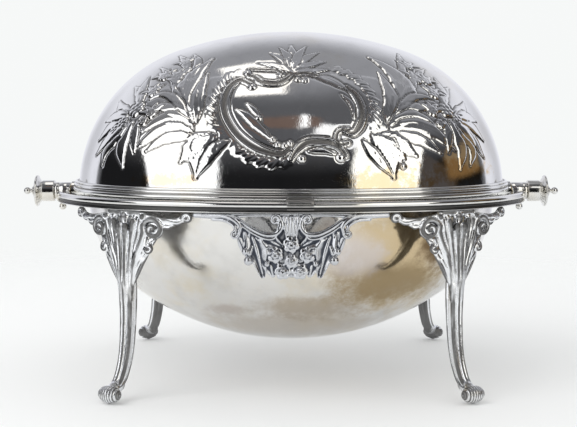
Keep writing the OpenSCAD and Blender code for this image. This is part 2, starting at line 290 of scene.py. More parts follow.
class Relief:
    """Height, in millimetres above the sheet, of raised and engraved work over a grid of points."""

    def __init__(self, points, normals):
        self.shape = points.shape[:2]
        self.p, self.n = points.reshape(-1, 3), normals.reshape(-1, 3)
        self.h = np.zeros(len(self.p))
        self.cut = np.zeros(len(self.p))
        # share of painted shade and tarnish that each point takes as a hollow
        self.hollow_shade_and_tarnish = np.zeros(len(self.p))

    def place(self, spots):
        """Points of the sheet at (x, degrees up round the girth) spots."""
        s = np.asarray(spots, float)
        g = np.radians(s[:, 1] - PANEL_DROP * (s[:, 1] - 5))
        r = DOME.half_width(s[:, 0])
        return np.stack([s[:, 0], -r * np.cos(g), r * np.sin(g)], -1)

    def near(self, spots, reach):
        """Points within reach of a line of spots: index, distance across (signed), share along, length."""
        line = self.place(curve_through(spots, 6 * len(spots) + 2))
        mid = (line.max(0) + line.min(0)) / 2
        half = (line.max(0) - line.min(0)) / 2 + reach
        idx = np.nonzero((np.abs(self.p - mid) < half).all(1))[0]
        a, d = line[:-1], np.diff(line, axis=0)
        length = np.linalg.norm(d, axis=1)
        start = np.concatenate([[0], np.cumsum(length)])
        rel = self.p[idx][:, None, :] - a[None]
        t = np.clip((rel * d).sum(-1) / (length ** 2), 0, 1)
        off = rel - t[..., None] * d
        dist = np.linalg.norm(off, axis=-1)
        k = dist.argmin(1)
        row = np.arange(len(idx))
        side = np.sign((np.cross(d[k], off[row, k]) * self.n[idx]).sum(-1))
        along = (start[k] + t[row, k] * length[k]) / start[-1]
        keep = dist[row, k] < reach
        return idx[keep], (dist[row, k] * side)[keep], along[keep], start[-1]

    def raise_to(self, idx, h):
        """Adds a shape that only shows where it is higher than what is there."""
        self.h[idx] = np.maximum(self.h[idx], h)

    def overlay(self, idx, h, inside):
        """Lays a shape over what is there already, which shows through only a little."""
        under = self.h[idx]
        self.h[idx] = np.where(inside, h + 0.3 * np.minimum(under, 1.2), under)

    def groove(self, idx, depth):
        """Engraves a line, seen where the sheet round it is plain."""
        self.cut[idx] = np.maximum(self.cut[idx], depth)

    def leaf(self, width, *spots, tall=0.8, lobes=0.1):
        """Flat-bodied leaf along a line of spots: crisp edges, a midrib and lines running to its tip."""
        idx, d, t, length = self.near(spots, width / 2 + 1.6)
        teeth = 1 - lobes * np.abs(np.sin(math.pi * t * max(2, round(length / 9))))
        half = width / 2 * np.maximum(np.sin(math.pi * np.clip(t, 0, 1) ** 0.8), 0.1) ** 0.8 * teeth
        q = np.abs(d) / half
        inside = q < 1
        body = 0.2 * (1 - q ** 2) + 0.8 * (1 - np.clip(q, 0, 1) ** 7)
        # midrib, veins along the leaf (more on a wide one), and branching veins on a lobed one
        lines = 0.16 * bell(d, 0.4) + 0.1 * bell((q - 0.5) * half, 0.35)
        lines += 0.14 * bell((q - 0.25) * half, 0.32) * (width > 6.6)
        lines += 0.14 * bell((q - 0.75) * half, 0.32) * (width > 8.6)
        branch = np.sin(math.pi * (t * length - 0.9 * np.abs(d)) / 3.2)
        lines += 0.2 * bell(branch, 0.32) * np.clip(3 * q, 0, 1) * (lobes > 0.15)
        curl = 0.12 * np.sin(math.pi * t) * np.clip(d / half, -1, 1)
        self.overlay(idx, tall * body * (1 + curl) - lines * (q < 0.85), inside)
        rim = bell(np.abs(d) - half - 0.4, 0.45)
        self.groove(idx, 0.3 * rim)
        self.h[idx] -= np.where(inside, 0, 0.55 * rim * np.clip(self.h[idx], 0, 1))

    def scroll(self, width, *spots, tall=1.2, ends=(1.0, 1.0)):
        """C-scroll: a band with a ridge at each edge and a hollow between that is painted dark with shade and
        tarnish, narrower at its ends.
        """
        idx, d, t, length = self.near(spots, width / 2 + 1.4)
        taper = ends[0] + (1 - ends[0]) * np.clip(t * 4, 0, 1)
        taper *= ends[1] + (1 - ends[1]) * np.clip((1 - t) * 4, 0, 1)
        half = width / 2 * taper
        q = np.clip(np.abs(d) / half, 0, 1)
        ridge = bell(q - 0.72, 0.2)
        self.raise_to(idx, tall * np.maximum(ridge, 0.1) * (1 - q ** 8))
        # painted shade and tarnish along the scroll's hollow
        self.hollow_shade_and_tarnish[idx] = np.maximum(self.hollow_shade_and_tarnish[idx], 0.95 * np.exp(-(q / 0.56) ** 4))
        self.groove(idx, 0.4 * bell(np.abs(d) - half - 0.35, 0.5))

    def fringe(self, width, *spots, pitch=3.0):
        """Row of little curled lobes, like a rope of leaves, across a line of spots."""
        tall = 0.85
        idx, d, t, length = self.near(spots, width / 2 + 1)
        along = t * length
        swing = width * 0.12 * np.sin(2 * math.pi * along / (pitch * 2.2))
        half = width / 2 * (0.93 + 0.07 * np.cos(2 * math.pi * (along - d * 0.8) / pitch))
        q = np.clip(np.abs(d - swing) / half, 0, 1)
        ribs = 0.55 + 0.45 * np.abs(np.cos(math.pi * (along - d * 0.8) / pitch))
        fade = np.clip(8 * t, 0.3, 1) * np.clip(8 * (1 - t), 0.3, 1)
        self.raise_to(idx, tall * half_round(q) * ribs * fade)

    def disc(self, spot, r):
        """Points within r of a spot: index, distance as a share of r, and angle round the spot."""
        c = self.place([spot])[0]
        idx = np.nonzero((np.abs(self.p - c) < r * 1.3).all(1))[0]
        off = self.p[idx] - c
        upward = np.cross(self.n[idx], [1.0, 0, 0])
        upward /= np.maximum(np.linalg.norm(upward, axis=1, keepdims=True), 1e-6)
        rise = (off * upward).sum(-1)
        return idx, np.linalg.norm(off, axis=1) / r, np.arctan2(rise, off[:, 0])

    def ball(self, spot, r):
        """Bead, a little flatter than a half ball."""
        idx, q, _ = self.disc(spot, r)
        self.raise_to(idx, r * 0.62 * half_round(q))
        self.groove(idx, 0.4 * bell((q - 1.1) * r, 0.45))

    def flower(self, spot, r, petals=5, turn=0.3):
        """Open flower: cupped petals round a raised button."""
        tall = 1.1
        idx, q, phi = self.disc(spot, r * 1.15)
        q = q * 1.15
        edge = 0.78 + 0.22 * np.abs(np.cos(petals / 2 * (phi - turn)))
        body = np.sqrt(np.maximum(1 - (q / edge) ** 3, 0))
        cup = 0.5 + 0.5 * np.clip(q * 1.6, 0, 1)
        split = 0.45 * bell(np.sin(petals / 2 * (phi - turn) + math.pi / 2), 0.3) * q
        button = 0.95 * half_round(q / 0.3)
        self.raise_to(idx, tall * np.maximum(body * (cup - split), button))
        self.groove(idx, 0.5 * bell((q - edge - 0.08) * r, 0.55))

    def result(self):
        """Heights and recess shading (0 to 1) as grids."""
        h = RELIEF_SCALE * (self.h - self.cut * (self.h < 0.12)).reshape(self.shape)
        blur = h.copy()
        for reach in (1, 1, 2):
            blur = (blur + np.roll(blur, reach, 0) + np.roll(blur, -reach, 0)
                    + np.roll(blur, reach, 1) + np.roll(blur, -reach, 1)) / 5
        full_shade = 0.26    # depth below the blurred relief that counts as fully hollow
        return h, np.maximum(np.clip((blur - h) / full_shade, 0, 1), self.hollow_shade_and_tarnish.reshape(self.shape))


def cartouche(work):
    """Scrolls, ribbed fringes and leaf spray that frame the plain field in the middle."""
    work.fringe(6.5, (-32, 51), (-38, 49), (-42.6, 45), (-46.4, 40), (-48, 35), (-47.6, 29), (-43.5, 24))
    work.fringe(6.5, (20, 53.5), (30, 51.5), (39, 48.5), (46, 43.5), (50, 38), (50.6, 32), (49, 26))
    work.fringe(6.5, (-36, 20), (-29, 16.4), (-20, 14), (-11, 12.8), (-1, 13.6), pitch=3.4)
    work.scroll(6.5, (-24, 44), (-31, 46.5), (-37, 43.5), (-40, 37.5), (-38.5, 31), (-32.5, 24.5),
                (-24, 19.8), (-15, 17.2), (-6, 16.2), (-1, 18), ends=(0.6, 0.5))
    work.leaf(5.5, (-33, 33.5), (-28, 31.5), (-21, 27), (-15, 23.5), (-10.5, 20.5))
    work.leaf(3.5, (-27, 36), (-22, 32.5), (-18, 28.5))
    work.ball((-19.5, 29.5), 1.9)
    work.ball((-23.5, 43), 2.4)
    for x, g in ((-8, 19.6), (-4, 19.2), (-0.6, 20), (-11, 21.4)):
        work.ball((x, g), 1.7)
    work.scroll(6, (33, 43.5), (38.5, 40), (42, 34.5), (41.5, 29), (37, 24.5), (31.5, 25), ends=(0.6, 0.5))
    work.leaf(6.5, (14, 47.5), (24, 46), (35, 41.5))
    work.leaf(3.6, (30, 40), (36, 36), (37.5, 30))
    work.scroll(3.6, (34, 25.5), (28.5, 25), (26.5, 22.5), (28.6, 20), (33.5, 20.5), tall=1.0)
    work.scroll(6, (0, 14.6), (4, 18), (10, 20.4), (20, 20.6), (27, 19.4), (32, 16), ends=(0.6, 0.6))
    work.ball((29, 15.2), 2.6)
    work.ball((6, 14.6), 2.2)
    work.leaf(4, (10, 17.2), (18, 17.6), (26, 16.2))
    work.scroll(5.4, (-26, 48.5), (-22, 47.5), (-18, 45), (-10, 44), (-4, 45.4), (0, 48), ends=(0.6, 0.5))
    work.scroll(3.6, (-25, 52), (-15, 51), (-8, 50.4), (-5, 48.2), tall=1.0)
    work.ball((-26.5, 50), 2.3)
    work.ball((-6, 48), 1.9)
    work.ball((4, 45.8), 2.1)
    work.ball((8, 45.4), 1.8)
    work.scroll(4.4, (2, 48), (9, 49), (17, 47.6), ends=(0.5, 0.7))
    for tip, wide in (((0, 67), 7.5), ((-13, 61), 7), ((-7, 65), 6), ((17, 62), 7), ((9, 66), 6.5),
                      ((21, 56), 6.5), ((-20, 55.5), 6), ((24, 51.5), 5)):
        middle = (1 + (tip[0] - 1) * 0.4, 48 + (tip[1] - 48) * 0.62)
        work.leaf(wide, (1, 49), middle, tip)
    work.flower((2, 54), 3.4)


def fan(work, root, width, *tips):
    """Leaves that spread from one root, each bowed a little away from a straight line."""
    for tip in tips:
        dx, dg = tip[0] - root[0], tip[1] - root[1]
        bow = 0.1 if dx * dg > 0 else -0.1
        middle = (root[0] + dx * 0.5 - dg * bow, root[1] + dg * 0.5 + dx * bow * 0.5)
        work.leaf(width, root, middle, tip)


def flower_head(work, spot, r, turn=0.3):
    """Flower among small leaves."""
    fan(work, spot, r * 0.8, (spot[0] + 1.9 * r, spot[1] + 0.6 * r), (spot[0] - 1.9 * r, spot[1] + 0.5 * r),
        (spot[0] + 0.8 * r, spot[1] + 1.1 * r), (spot[0] - 0.9 * r, spot[1] + 1.0 * r))
    work.flower(spot, r, turn=turn)


def left_spray(work):
    """Flowers and leaves that fill the left of the panel."""
    fan(work, (-93, 44), 9, (-98, 61), (-89, 63))
    work.leaf(8, (-99, 43), (-106, 50), (-108, 58))
    work.leaf(6.5, (-61, 34), (-68, 44), (-72, 52), (-76, 62))
    work.leaf(6.5, (-66, 46), (-74, 56), (-82, 67))
    work.leaf(6, (-64, 50), (-65, 62), (-71, 74))
    work.leaf(6, (-60, 52), (-58, 62), (-61, 70))
    flower_head(work, (-70, 55), 5)
    flower_head(work, (-79, 58), 4.2, 1.0)
    flower_head(work, (-66, 64), 4, 0.6)
    work.leaf(17, (-59, 27), (-64, 38), (-61.5, 50), (-49, 62), tall=1.1)
    work.leaf(9.5, (-56.5, 30), (-56, 42), (-51, 53), tall=1.0)
    work.leaf(9.5, (-61, 29), (-68, 38), (-72, 50))
    work.leaf(9, (-60, 31), (-71, 37), (-80, 40), (-87, 40))
    work.leaf(9.5, (-59, 29), (-70, 33.5), (-80, 33.5), (-91, 30))
    work.leaf(10, (-59, 26.5), (-71, 29), (-82, 28), (-95, 22.5))
    work.leaf(8, (-58, 24), (-67, 25), (-77, 24.5), (-88, 20.5))
    work.leaf(6.5, (-62, 33), (-72, 43), (-80, 47), (-87, 46))
    flower_head(work, (-85, 38), 4.4, 0.9)
    flower_head(work, (-85, 50), 4.2)
    work.leaf(11, (-97, 37), (-102, 31), (-104, 24), (-102.5, 15), tall=1.0)
    work.leaf(10, (-100, 37), (-109, 32), (-115, 27), (-117, 19), tall=1.0)
    work.leaf(7, (-94, 36), (-95.5, 29), (-95, 21), tall=0.7)
    work.leaf(9, (-101, 40), (-111, 42), (-121, 38))
    work.leaf(8.5, (-100, 38), (-112, 35), (-122, 28))
    work.leaf(8, (-101, 42), (-110, 47), (-117, 50))
    work.flower((-90, 35), 3.6, petals=4)
    work.flower((-95, 43.5), 6, petals=6)
    work.flower((-104, 39.5), 4.6, turn=1.1)
    work.flower((-110, 38), 3.8, turn=0.7)
    work.leaf(14, (-47, 24.5), (-57, 21), (-66, 14.5), lobes=0.18)
    work.leaf(17, (-45, 24), (-53, 18), (-56.5, 8.5), lobes=0.18)
    work.leaf(8, (-37, 21.5), (-46, 18), (-55.5, 9))
    work.flower((-60, 17), 4.2)


def right_spray(work):
    """Flowers and leaves that fill the right of the panel."""
    fan(work, (94, 44), 9, (99, 61), (90, 63))
    work.leaf(8, (100, 43), (107, 50), (109, 58))
    work.leaf(6.5, (63, 34), (70, 44), (75, 52), (77, 63))
    work.leaf(6.5, (70, 46), (77, 56), (84, 67))
    work.leaf(6, (68, 52), (69, 63), (68, 75))
    flower_head(work, (77, 56), 5)
    flower_head(work, (84, 57), 4.2, 1.0)
    flower_head(work, (73, 64), 4, 0.6)
    work.leaf(17, (59, 26), (67, 37), (69, 48), (61, 57), (48.5, 63), tall=1.1)
    work.leaf(9.5, (57, 30), (60, 42), (53.5, 54), tall=1.0)
    work.leaf(9, (60, 31), (71, 37), (80, 40), (88, 40))
    work.leaf(9.5, (59, 29), (70, 33.5), (80, 34), (90, 30.5))
    work.leaf(11, (59, 26), (72, 30), (86, 29), (100, 23))
    work.leaf(8, (58, 24), (67, 25), (78, 24.5), (90, 20))
    work.leaf(6.5, (63, 34), (73, 43), (82, 46), (88, 46))
    flower_head(work, (86, 39.5), 4.4)
    flower_head(work, (88, 50), 4.2)
    work.leaf(11, (97, 38), (102, 31), (104.5, 24), (103, 14), tall=1.0)
    work.leaf(10, (100, 38), (108, 33), (112, 26), (110, 17), tall=1.0)
    work.leaf(7, (94, 36), (96, 29), (95.5, 21), tall=0.7)
    work.leaf(9, (102, 40), (112, 42), (121, 38))
    work.leaf(8.5, (101, 38), (112, 34), (120, 25))
    work.leaf(8, (102, 42), (110, 47), (117, 50))
    work.flower((91, 34), 3.6, petals=4)
    work.flower((95.5, 43), 5.8, petals=6)
    work.flower((103, 40.5), 4.6, turn=1.2)
    work.leaf(14, (52, 24.5), (63, 22), (75, 17.5), lobes=0.18)
    work.leaf(17, (48, 24), (57, 18.5), (61, 8.5), lobes=0.18)
    work.leaf(7, (42, 22), (50, 16), (60, 9))
    work.flower((63.5, 17), 5)
    work.ball((66.5, 13), 2)
    work.ball((67, 16), 1.5)


GRAIN = 0.65    # spacing of the points that carry the chasing


def build_dome():
    """Cover: a raised sheet, chased alike on its front and rear."""
    turns = DOME.turns(GRAIN)
    angles = np.linspace(0, math.pi, int(math.pi * DOME.b / GRAIN))
    points, normals = spun_grid(DOME, turns, angles)
    half = (len(angles) + 1) // 2
    work = Relief(points[:half], normals[:half])
    cartouche(work)
    left_spray(work)
    right_spray(work)
    front, shade = work.result()
    rest = len(angles) - half
    height = np.concatenate([front, front[:rest, ::-1][::-1]])
    recess = np.concatenate([shade, shade[:rest, ::-1][::-1]])
    # the sheet keeps a trace of the hammer
    planished = 0.05 * np.sin(points[..., 0] / 9.1 + np.sin(points[..., 2] / 7)) \
        * np.sin(points[..., 2] / 8.3 + np.sin(points[..., 0] / 11))
    outer = points + normals * (height + planished)[..., None]
    inner = every_nth(points - normals * SHEET, 4)
    for side in (outer, inner):
        side[..., 2] = np.maximum(side[..., 2], EDGE + 0.3)
    return shell("dome", outer, inner, recess)


def build_border():
    """Reeded border at the foot of the cover."""
    section = [(-1.3, EDGE), (2.4, EDGE)]
    section += arc(2.75, EDGE + 1.25, 1.25, -90, 75, 11)
    section += [(2.55, EDGE + 2.8)]
    section += arc(2.25, EDGE + 3.95, 1.1, -60, 70, 9)
    section += [(2.0, EDGE + 5.1)]
    section += arc(1.7, EDGE + 5.75, 0.8, -50, 100, 8)
    section += [(0.6, BORDER_TOP - 0.05), (-1.3, BORDER_TOP - 0.05)]
    return round_oval("cover_border", DOME, section)


# ---------------------------------------------------------------- turned and swept metal

def build_ring():
    """Flat-topped ring with a tall lip, a hollow and a thin bead down its outer face."""
    lip, bead = 1.8, 0.32
    hollow = RING_OUT - 1.7
    section = [(RING_IN, RING_BASE), (RING_OUT - 2 * bead, RING_BASE)]
    section += arc(RING_OUT - 2 * bead, RING_BASE + bead, bead, -90, 70, 7)
    section += [(RING_OUT - 1.2, RING_BASE + 2 * bead)]
    section += [(hollow + 0.2, -4.3), (hollow, -3.7), (hollow + 0.1, -3.0), (hollow + 0.5, -2.4)]
    section += arc(RING_OUT - lip, RING_TOP - lip, lip, -60, 90, 13)
    section += [(RING_IN + 0.5, RING_TOP), (RING_IN, RING_TOP - 0.5)]
    return round_oval("stand_ring", DOME, section)


def build_saddle(name, end):
    """Half-round saddle that carries a bearing housing, below the ring's top."""
    start = low("bearing_housing_right")[0]
    stop = start + 9
    r_out, r_in, bevel, outer_bevel = 7.6, 5.72, 0.5, 0.8
    limit = math.asin(RING_TOP / r_out)
    a = np.linspace(math.pi - limit, 2 * math.pi + limit, 49)
    profile = [(start, r_in), (start, r_out - bevel), (start + bevel, r_out),
               (stop - outer_bevel, r_out), (stop, r_out - outer_bevel), (stop, r_in)]
    verts = [(end * x, r * math.cos(t), AXIS + r * math.sin(t)) for x, r in profile for t in a]
    n = len(a)
    faces = grid_faces(len(profile), n, True, False)
    faces += [[i * n + last for i in range(len(profile))] for last in (0, n - 1)]
    return weld(mesh_object(name, verts, faces, smooth=False))


def build_housing(name, end):
    """Bearing housing: a turned sleeve with a groove near its outer end."""
    x0, x1 = low("bearing_housing_right")[0], high("bearing_housing_right")[0]
    r = 5.7
    profile = [(x0, 3.0), (x0, r - 0.4), (x0 + 0.4, r), (x1 - 3.4, r), (x1 - 3.0, r - 0.35),
               (x1 - 2.6, r), (x1 - 0.5, r), (x1, r - 0.5), (x1, 3.0)]
    return lathe(name, profile, end)


def build_knob(name, end):
    """End knob: a plain barrel with rounded shoulders, flared into a lens-shaped flange."""
    x0, x1 = low("end_knob_right")[0], high("end_knob_right")[0]
    barrel, shoulder, rim = 7.0, 0.8, 10.4
    neck = x0 + 8.6
    profile = [(x0, 3.0), (x0, barrel - shoulder)]
    profile += arc(x0 + shoulder, barrel - shoulder, shoulder, 180, 90, 6)[1:]
    profile += arc(neck - shoulder, barrel - shoulder, shoulder, 90, 10, 6)
    profile += [(neck + 0.2, barrel - 0.9), (neck + 0.6, 6.8), (neck + 1.3, 8.0), (neck + 2.3, 9.1)]
    profile += arc(neck + 3.2, rim - 0.9, 0.9, 140, 0, 9)
    profile += [(x1 - 1.2, 8.2), (x1 - 0.6, 6.2), (x1 - 0.1, 3.8), (x1 + 0.1, 1.3)]
    return lathe(name, profile, end)


BALL_R = 2.4    # balls of the finials and of the lock screws


def build_finial(name, end):
    """Ball on a short neck over a small collar."""
    x1 = high("end_knob_right")[0]
    tip = high("finial_right")[0]
    profile = [(x1 - 0.6, 0.0), (x1 - 0.6, 3.2), (x1 + 0.7, 3.0), (x1 + 1.2, 2.0)]
    profile += [(x1 + 1.5, 1.35), (x1 + 2.1, 1.3)]
    profile += arc(tip - BALL_R, 0, BALL_R, 147, 0, 15)
    return lathe(name, profile, end, 64)


def build_screw(name, end):
    """Ball-headed screw that hangs under a housing, with its shank up in the housing's wall."""
    x = (low("lock_screw_right")[0] + high("lock_screw_right")[0]) / 2
    ball = low("lock_screw_right")[2] - AXIS + BALL_R
    shank_r, shank_top = 1.3, -3.4
    profile = arc(ball, 0, BALL_R, 180, 35, 14)
    profile += [(ball + 2.3, shank_r), (shank_top, shank_r), (shank_top, 0.0)]
    return lathe(name, profile, end, 64, upright_at=x)


def build_bowl():
    """Deep bowl: the lower half of an oval turned about the long axis."""
    turns = BOWL.turns(1.6)
    angles = np.linspace(0, -math.pi, 180)
    points, normals = spun_grid(BOWL, turns, angles)
    wave = 0.07 * np.sin(points[..., 0] / 13 + np.sin(points[..., 2] / 9)) * np.sin(points[..., 2] / 11)
    fade = np.clip(np.abs(np.sin(angles))[:, None] * 8, 0, 1)
    outer = points + normals * (wave * fade)[..., None]
    inner = every_nth(points - normals * SHEET, 3)
    for side in (outer, inner):
        side[..., 2] = np.minimum(side[..., 2], 0)
    return shell("bowl_shell", outer, inner)


def build_bowl_rim():
    """Half-round roll outside the bowl's rim."""
    section = [(0.0, -2.4)] + arc(0.55, -1.2, 1.05, -80, 80, 9) + [(0.0, -0.02)]
    return round_oval("bowl_rolled_rim", BOWL, section)


def build_liner():
    """Liner dish with rounded corners, carried on the bowl's rim by its flange."""
    top, ledge, floor = 0.0, low("drainer")[2] - AXIS, low("liner_dish")[2] - AXIS
    wall, t, well = -8.0, 1.0, -16.0
    outside = [(-0.5, top + 0.5), (-0.5, top), (wall + 1.5, top - 0.2)]
    outside += arc(wall - 1.2, top - 1.6, 1.4, 80, 0, 5)
    outside += [(wall, ledge + 1.5), (wall - 0.6, ledge - 0.8), (wall - 2, ledge - t)]
    outside += [(well + 1.5, ledge - t), (well, ledge - t - 1.5), (well, floor + 5)]
    outside += arc(well - 5, floor + 5, 5, 0, -90, 7)
    inside = arc(well - 5, floor + 5, 4, -90, 0, 7)
    inside += [(well - t, ledge - 1.5), (well, ledge), (wall - t - 1.5, ledge), (wall - t, ledge + 1.5)]
    inside += [(wall - t, top - 1.2)] + arc(wall - t + 1.6, top - 0.9, 1.6, 180, 100, 5)
    inside += [(-0.9, top + 1.0)]
    turns = full_round(BOWL, 2.0)
    rings = [(BOWL.at(turns, out), z) for out, z in outside]
    rings += [(rings[-1][0] * f, floor) for f in np.linspace(0.9, 0, 12)]
    rings += [(BOWL.at(turns, inside[0][0]) * f, inside[0][1]) for f in np.linspace(0, 0.9, 12)]
    rings += [(BOWL.at(turns, out), z) for out, z in inside]
    verts = np.concatenate([np.column_stack([xy, np.full(len(xy), AXIS + z)]) for xy, z in rings])
    faces = grid_faces(len(rings), len(turns), True, True)
    return weld(mesh_object("liner", ease_ends(verts), faces))


def ease_ends(verts):
    """Draws points in from the bosses at the bowl's ends, so that the flange clears them."""
    boss_x, boss_r = low("bowl_boss_right")[0] - 0.6, 6.4
    close = (np.abs(verts[:, 1]) < boss_r) & (np.abs(verts[:, 0]) > boss_x)
    close &= np.abs(verts[:, 2] - AXIS) < boss_r
    verts[close, 0] = np.sign(verts[close, 0]) * boss_x
    return verts


def build_liner_border():
    """Bead that stiffens the edge of the liner's flange."""
    section = [(-2.6, 1.0), (-0.9, 1.0)] + arc(-1.75, 1.35, 0.85, 0, 180, 9)
    ob = round_oval("liner_rim_bead", BOWL, section)
    write_points(ob.data, ease_ends(read_points(ob.data) / MM) * MM)
    return weld(ob, 0.02)


# ---------------------------------------------------------------- cast metal

def closed_faces(rows, around):
    """Faces over rows of points that each close on themselves, with a cap at both ends."""
    caps = [list(range(around))[::-1], [(rows - 1) * around + i for i in range(around)]]
    return grid_faces(rows, around, False, True) + caps


def tube(points, radii, sides=12, steps=4):
    """Vertices and faces of a closed tube with round ends along a smooth curve through points."""
    count = steps * len(points)
    line = curve_through(points, count)
    size = np.interp(np.linspace(0, 1, count), np.linspace(0, 1, len(radii)), radii)
    # two smaller rings beyond each end round it off
    first, last = line[0] - line[1], line[-1] - line[-2]
    first, last = first / np.linalg.norm(first), last / np.linalg.norm(last)
    centres = [line[0] + first * size[0] * k for k in (0.95, 0.7)]
    centres += list(line) + [line[-1] + last * size[-1] * k for k in (0.7, 0.95)]
    centres = np.array(centres)
    size = np.concatenate([size[:1] * [0.3, 0.72], size, size[-1:] * [0.72, 0.3]])
    direction = np.gradient(centres, axis=0)
    direction /= np.linalg.norm(direction, axis=1, keepdims=True)
    side = np.cross(direction[0], [0.3, 0.5, 0.81])
    rings = []
    for c, r, d in zip(centres, size, direction):
        side = side - d * side.dot(d)
        side /= np.linalg.norm(side)
        up = np.cross(d, side)
        a = np.linspace(0, 2 * math.pi, sides, endpoint=False)[:, None]
        rings.append(c + r * (np.cos(a) * side + np.sin(a) * up))
    return np.concatenate(rings), closed_faces(len(rings), sides)


def blob(centre, size, sides=12):
    """Vertices and faces of an ellipsoid with half axes size."""
    lat = np.linspace(-math.pi / 2, math.pi / 2, sides // 2 + 1)[:, None]
    lon = np.linspace(0, 2 * math.pi, sides, endpoint=False)[None, :]
    p = np.stack([np.cos(lat) * np.cos(lon), np.cos(lat) * np.sin(lon), np.sin(lat) + 0 * lon], -1)
    verts = np.asarray(centre, float) + p.reshape(-1, 3) * np.asarray(size, float)
    return verts, grid_faces(len(lat), sides, False, True)


class Casting:
    """Closed shapes modelled flat, as (along, outward, up), that are fused into one casting."""

    def __init__(self):
        self.verts, self.faces, self.count = [], [], 0

    def add(self, shape):
        verts, faces = shape
        self.verts.append(np.asarray(verts, float))
        self.faces += [[i + self.count for i in f] for f in faces]
        self.count += len(verts)

    def tube(self, points, radii, **more):
        self.add(tube(points, radii, **more))

    def ball(self, centre, r, flat=1.0):
        self.add(blob(centre, (r, r * flat, r)))

    def leaf(self, spots, width, out=0.0, lift=1.0, cup=0.9, thick=0.9, lobes=0):
        """Hollow-faced leaf along a line of (along, up) spots, with raised edges and a midrib."""
        rows, cols = 36, 25
        line = curve_through(spots, rows)
        run = np.gradient(line, axis=0)
        across = np.stack([-run[:, 1], run[:, 0]], -1) / np.linalg.norm(run, axis=1)[:, None]
        t = np.linspace(0, 1, rows)[:, None]
        c = np.linspace(-1, 1, cols)[None, :]
        half = width / 2 * np.sin(math.pi * (0.12 + 0.85 * t)) ** 0.8
        if lobes:
            half = half * (1 - 0.24 * np.abs(np.sin(math.pi * t * lobes)))
        plane = line[:, None, :] + across[:, None, :] * (c * half)[..., None]
        face = out + lift * np.sin(math.pi * t) ** 0.8 - 0.6 * t ** 2 + cup * (np.abs(c) ** 2 - 0.5)
        face = face + 0.75 * bell(c, 0.14) - 0.9 * np.abs(c) ** 8
        back = out - thick + 0 * face + cup * 0.4 * (np.abs(c) ** 2 - 0.5)
        back = np.minimum(back, face - 0.7)
        front = np.stack([plane[..., 0], face, plane[..., 1]], -1)
        rear = np.stack([plane[..., 0], back, plane[..., 1]], -1)[:, ::-1]
        loop = np.concatenate([front, rear], axis=1)
        self.add((loop.reshape(-1, 3), closed_faces(rows, 2 * cols)))

    def flower(self, centre, r, petals=6, turn=0.3):
        """Round flower in the (along, up) plane: a plump heart in a ring of low petals."""
        c = np.asarray(centre, float)
        for k in range(petals):
            a = turn + 2 * math.pi * k / petals
            d = np.array([math.cos(a), 0, math.sin(a)])
            self.add(blob(c + d * r * 0.6 - [0, r * 0.2, 0], (r * 0.46, r * 0.22, r * 0.46)))
        self.add(blob(c + [0, r * 0.05, 0], (r * 0.5, r * 0.24, r * 0.5), 16))
        for k in range(5):
            a = turn + 2 * math.pi * k / 5
            self.add(blob(c + [r * 0.24 * math.cos(a), r * 0.22, r * 0.24 * math.sin(a)], (r * 0.13,) * 3, 8))

    def curl(self, centre, r, start, sweep, wire=1.2, inner=0.35, out=0.0):
        """Spiral in the (along, up) plane, from radius r inward through sweep degrees."""
        n = max(5, int(abs(sweep) / 40))
        t = np.linspace(0, 1, n)
        a = np.radians(start + sweep * t)
        rr = r * (1 - (1 - inner) * t)
        pts = np.stack([centre[0] + rr * np.cos(a), out + 0 * t, centre[1] + rr * np.sin(a)], -1)
        self.tube(pts, [wire, wire, wire * 0.8])

    def fuse(self, name, voxel, bend, reach=9, dull=(0, 0, 0)):
        """One watertight casting, smoothed, bent into place and marked where it is hollow.

        Faces that look along dull, in the flat space, are marked as if they were hollow, so the materials
        darken and dull them like the hollows.
        """
        ob = mesh_object(name, np.concatenate(self.verts), self.faces)
        fuse = ob.modifiers.new("fuse", "REMESH")
        fuse.mode = "VOXEL"
        fuse.voxel_size = voxel * MM
        soften = ob.modifiers.new("soften", "SMOOTH")
        soften.factor, soften.iterations = 0.5, 2
        apply_modifiers(ob)
        mesh = ob.data
        least = np.clip(2 * read_points(mesh, "normal") @ np.array(dull), 0, 1)
        write_points(mesh, bend(read_points(mesh) / MM) * MM)
        mesh.polygons.foreach_set("use_smooth", [True] * len(mesh.polygons))
        mesh.update()
        mark_recesses(mesh, reach, least)
        return ob


def mark_recesses(mesh, reach, least):
    """Writes how hollow each vertex is (least to 1), compared with a mesh smoothed reach times."""
    n = len(mesh.vertices)
    co, normal = read_points(mesh), read_points(mesh, "normal")
    edges = np.empty(len(mesh.edges) * 2, int)
    mesh.edges.foreach_get("vertices", edges)
    one, other = edges.reshape(-1, 2).T
    degree = np.bincount(edges, minlength=n)[:, None]

    def spread(values):
        """Mean of the values at each vertex's neighbours."""
        total = [np.bincount(one, column[other], n) + np.bincount(other, column[one], n)
                 for column in values.T]
        return np.stack(total, -1) / degree
    smooth = co
    for _ in range(reach):
        smooth = spread(smooth)
    hollow = ((smooth - co) * normal).sum(1, keepdims=True) / MM
    hollow = (hollow + spread(hollow)) / 2
    full_shade = 0.16    # depth in millimetres that counts as fully hollow
    write_recess(mesh, np.maximum(np.clip(hollow[:, 0] / full_shade, 0, 1), least))


def mirrored(ob, name, flip_x, flip_y):
    """Copy of a casting for another quarter of the stand."""
    mesh = ob.data.copy()
    write_points(mesh, read_points(mesh) * [-1 if flip_x else 1, -1 if flip_y else 1, 1])
    if flip_x != flip_y:
        mesh.flip_normals()
    mesh.name = name
    mesh.update()
    twin = bpy.data.objects.new(name, mesh)
    bpy.context.scene.collection.objects.link(twin)
    return twin


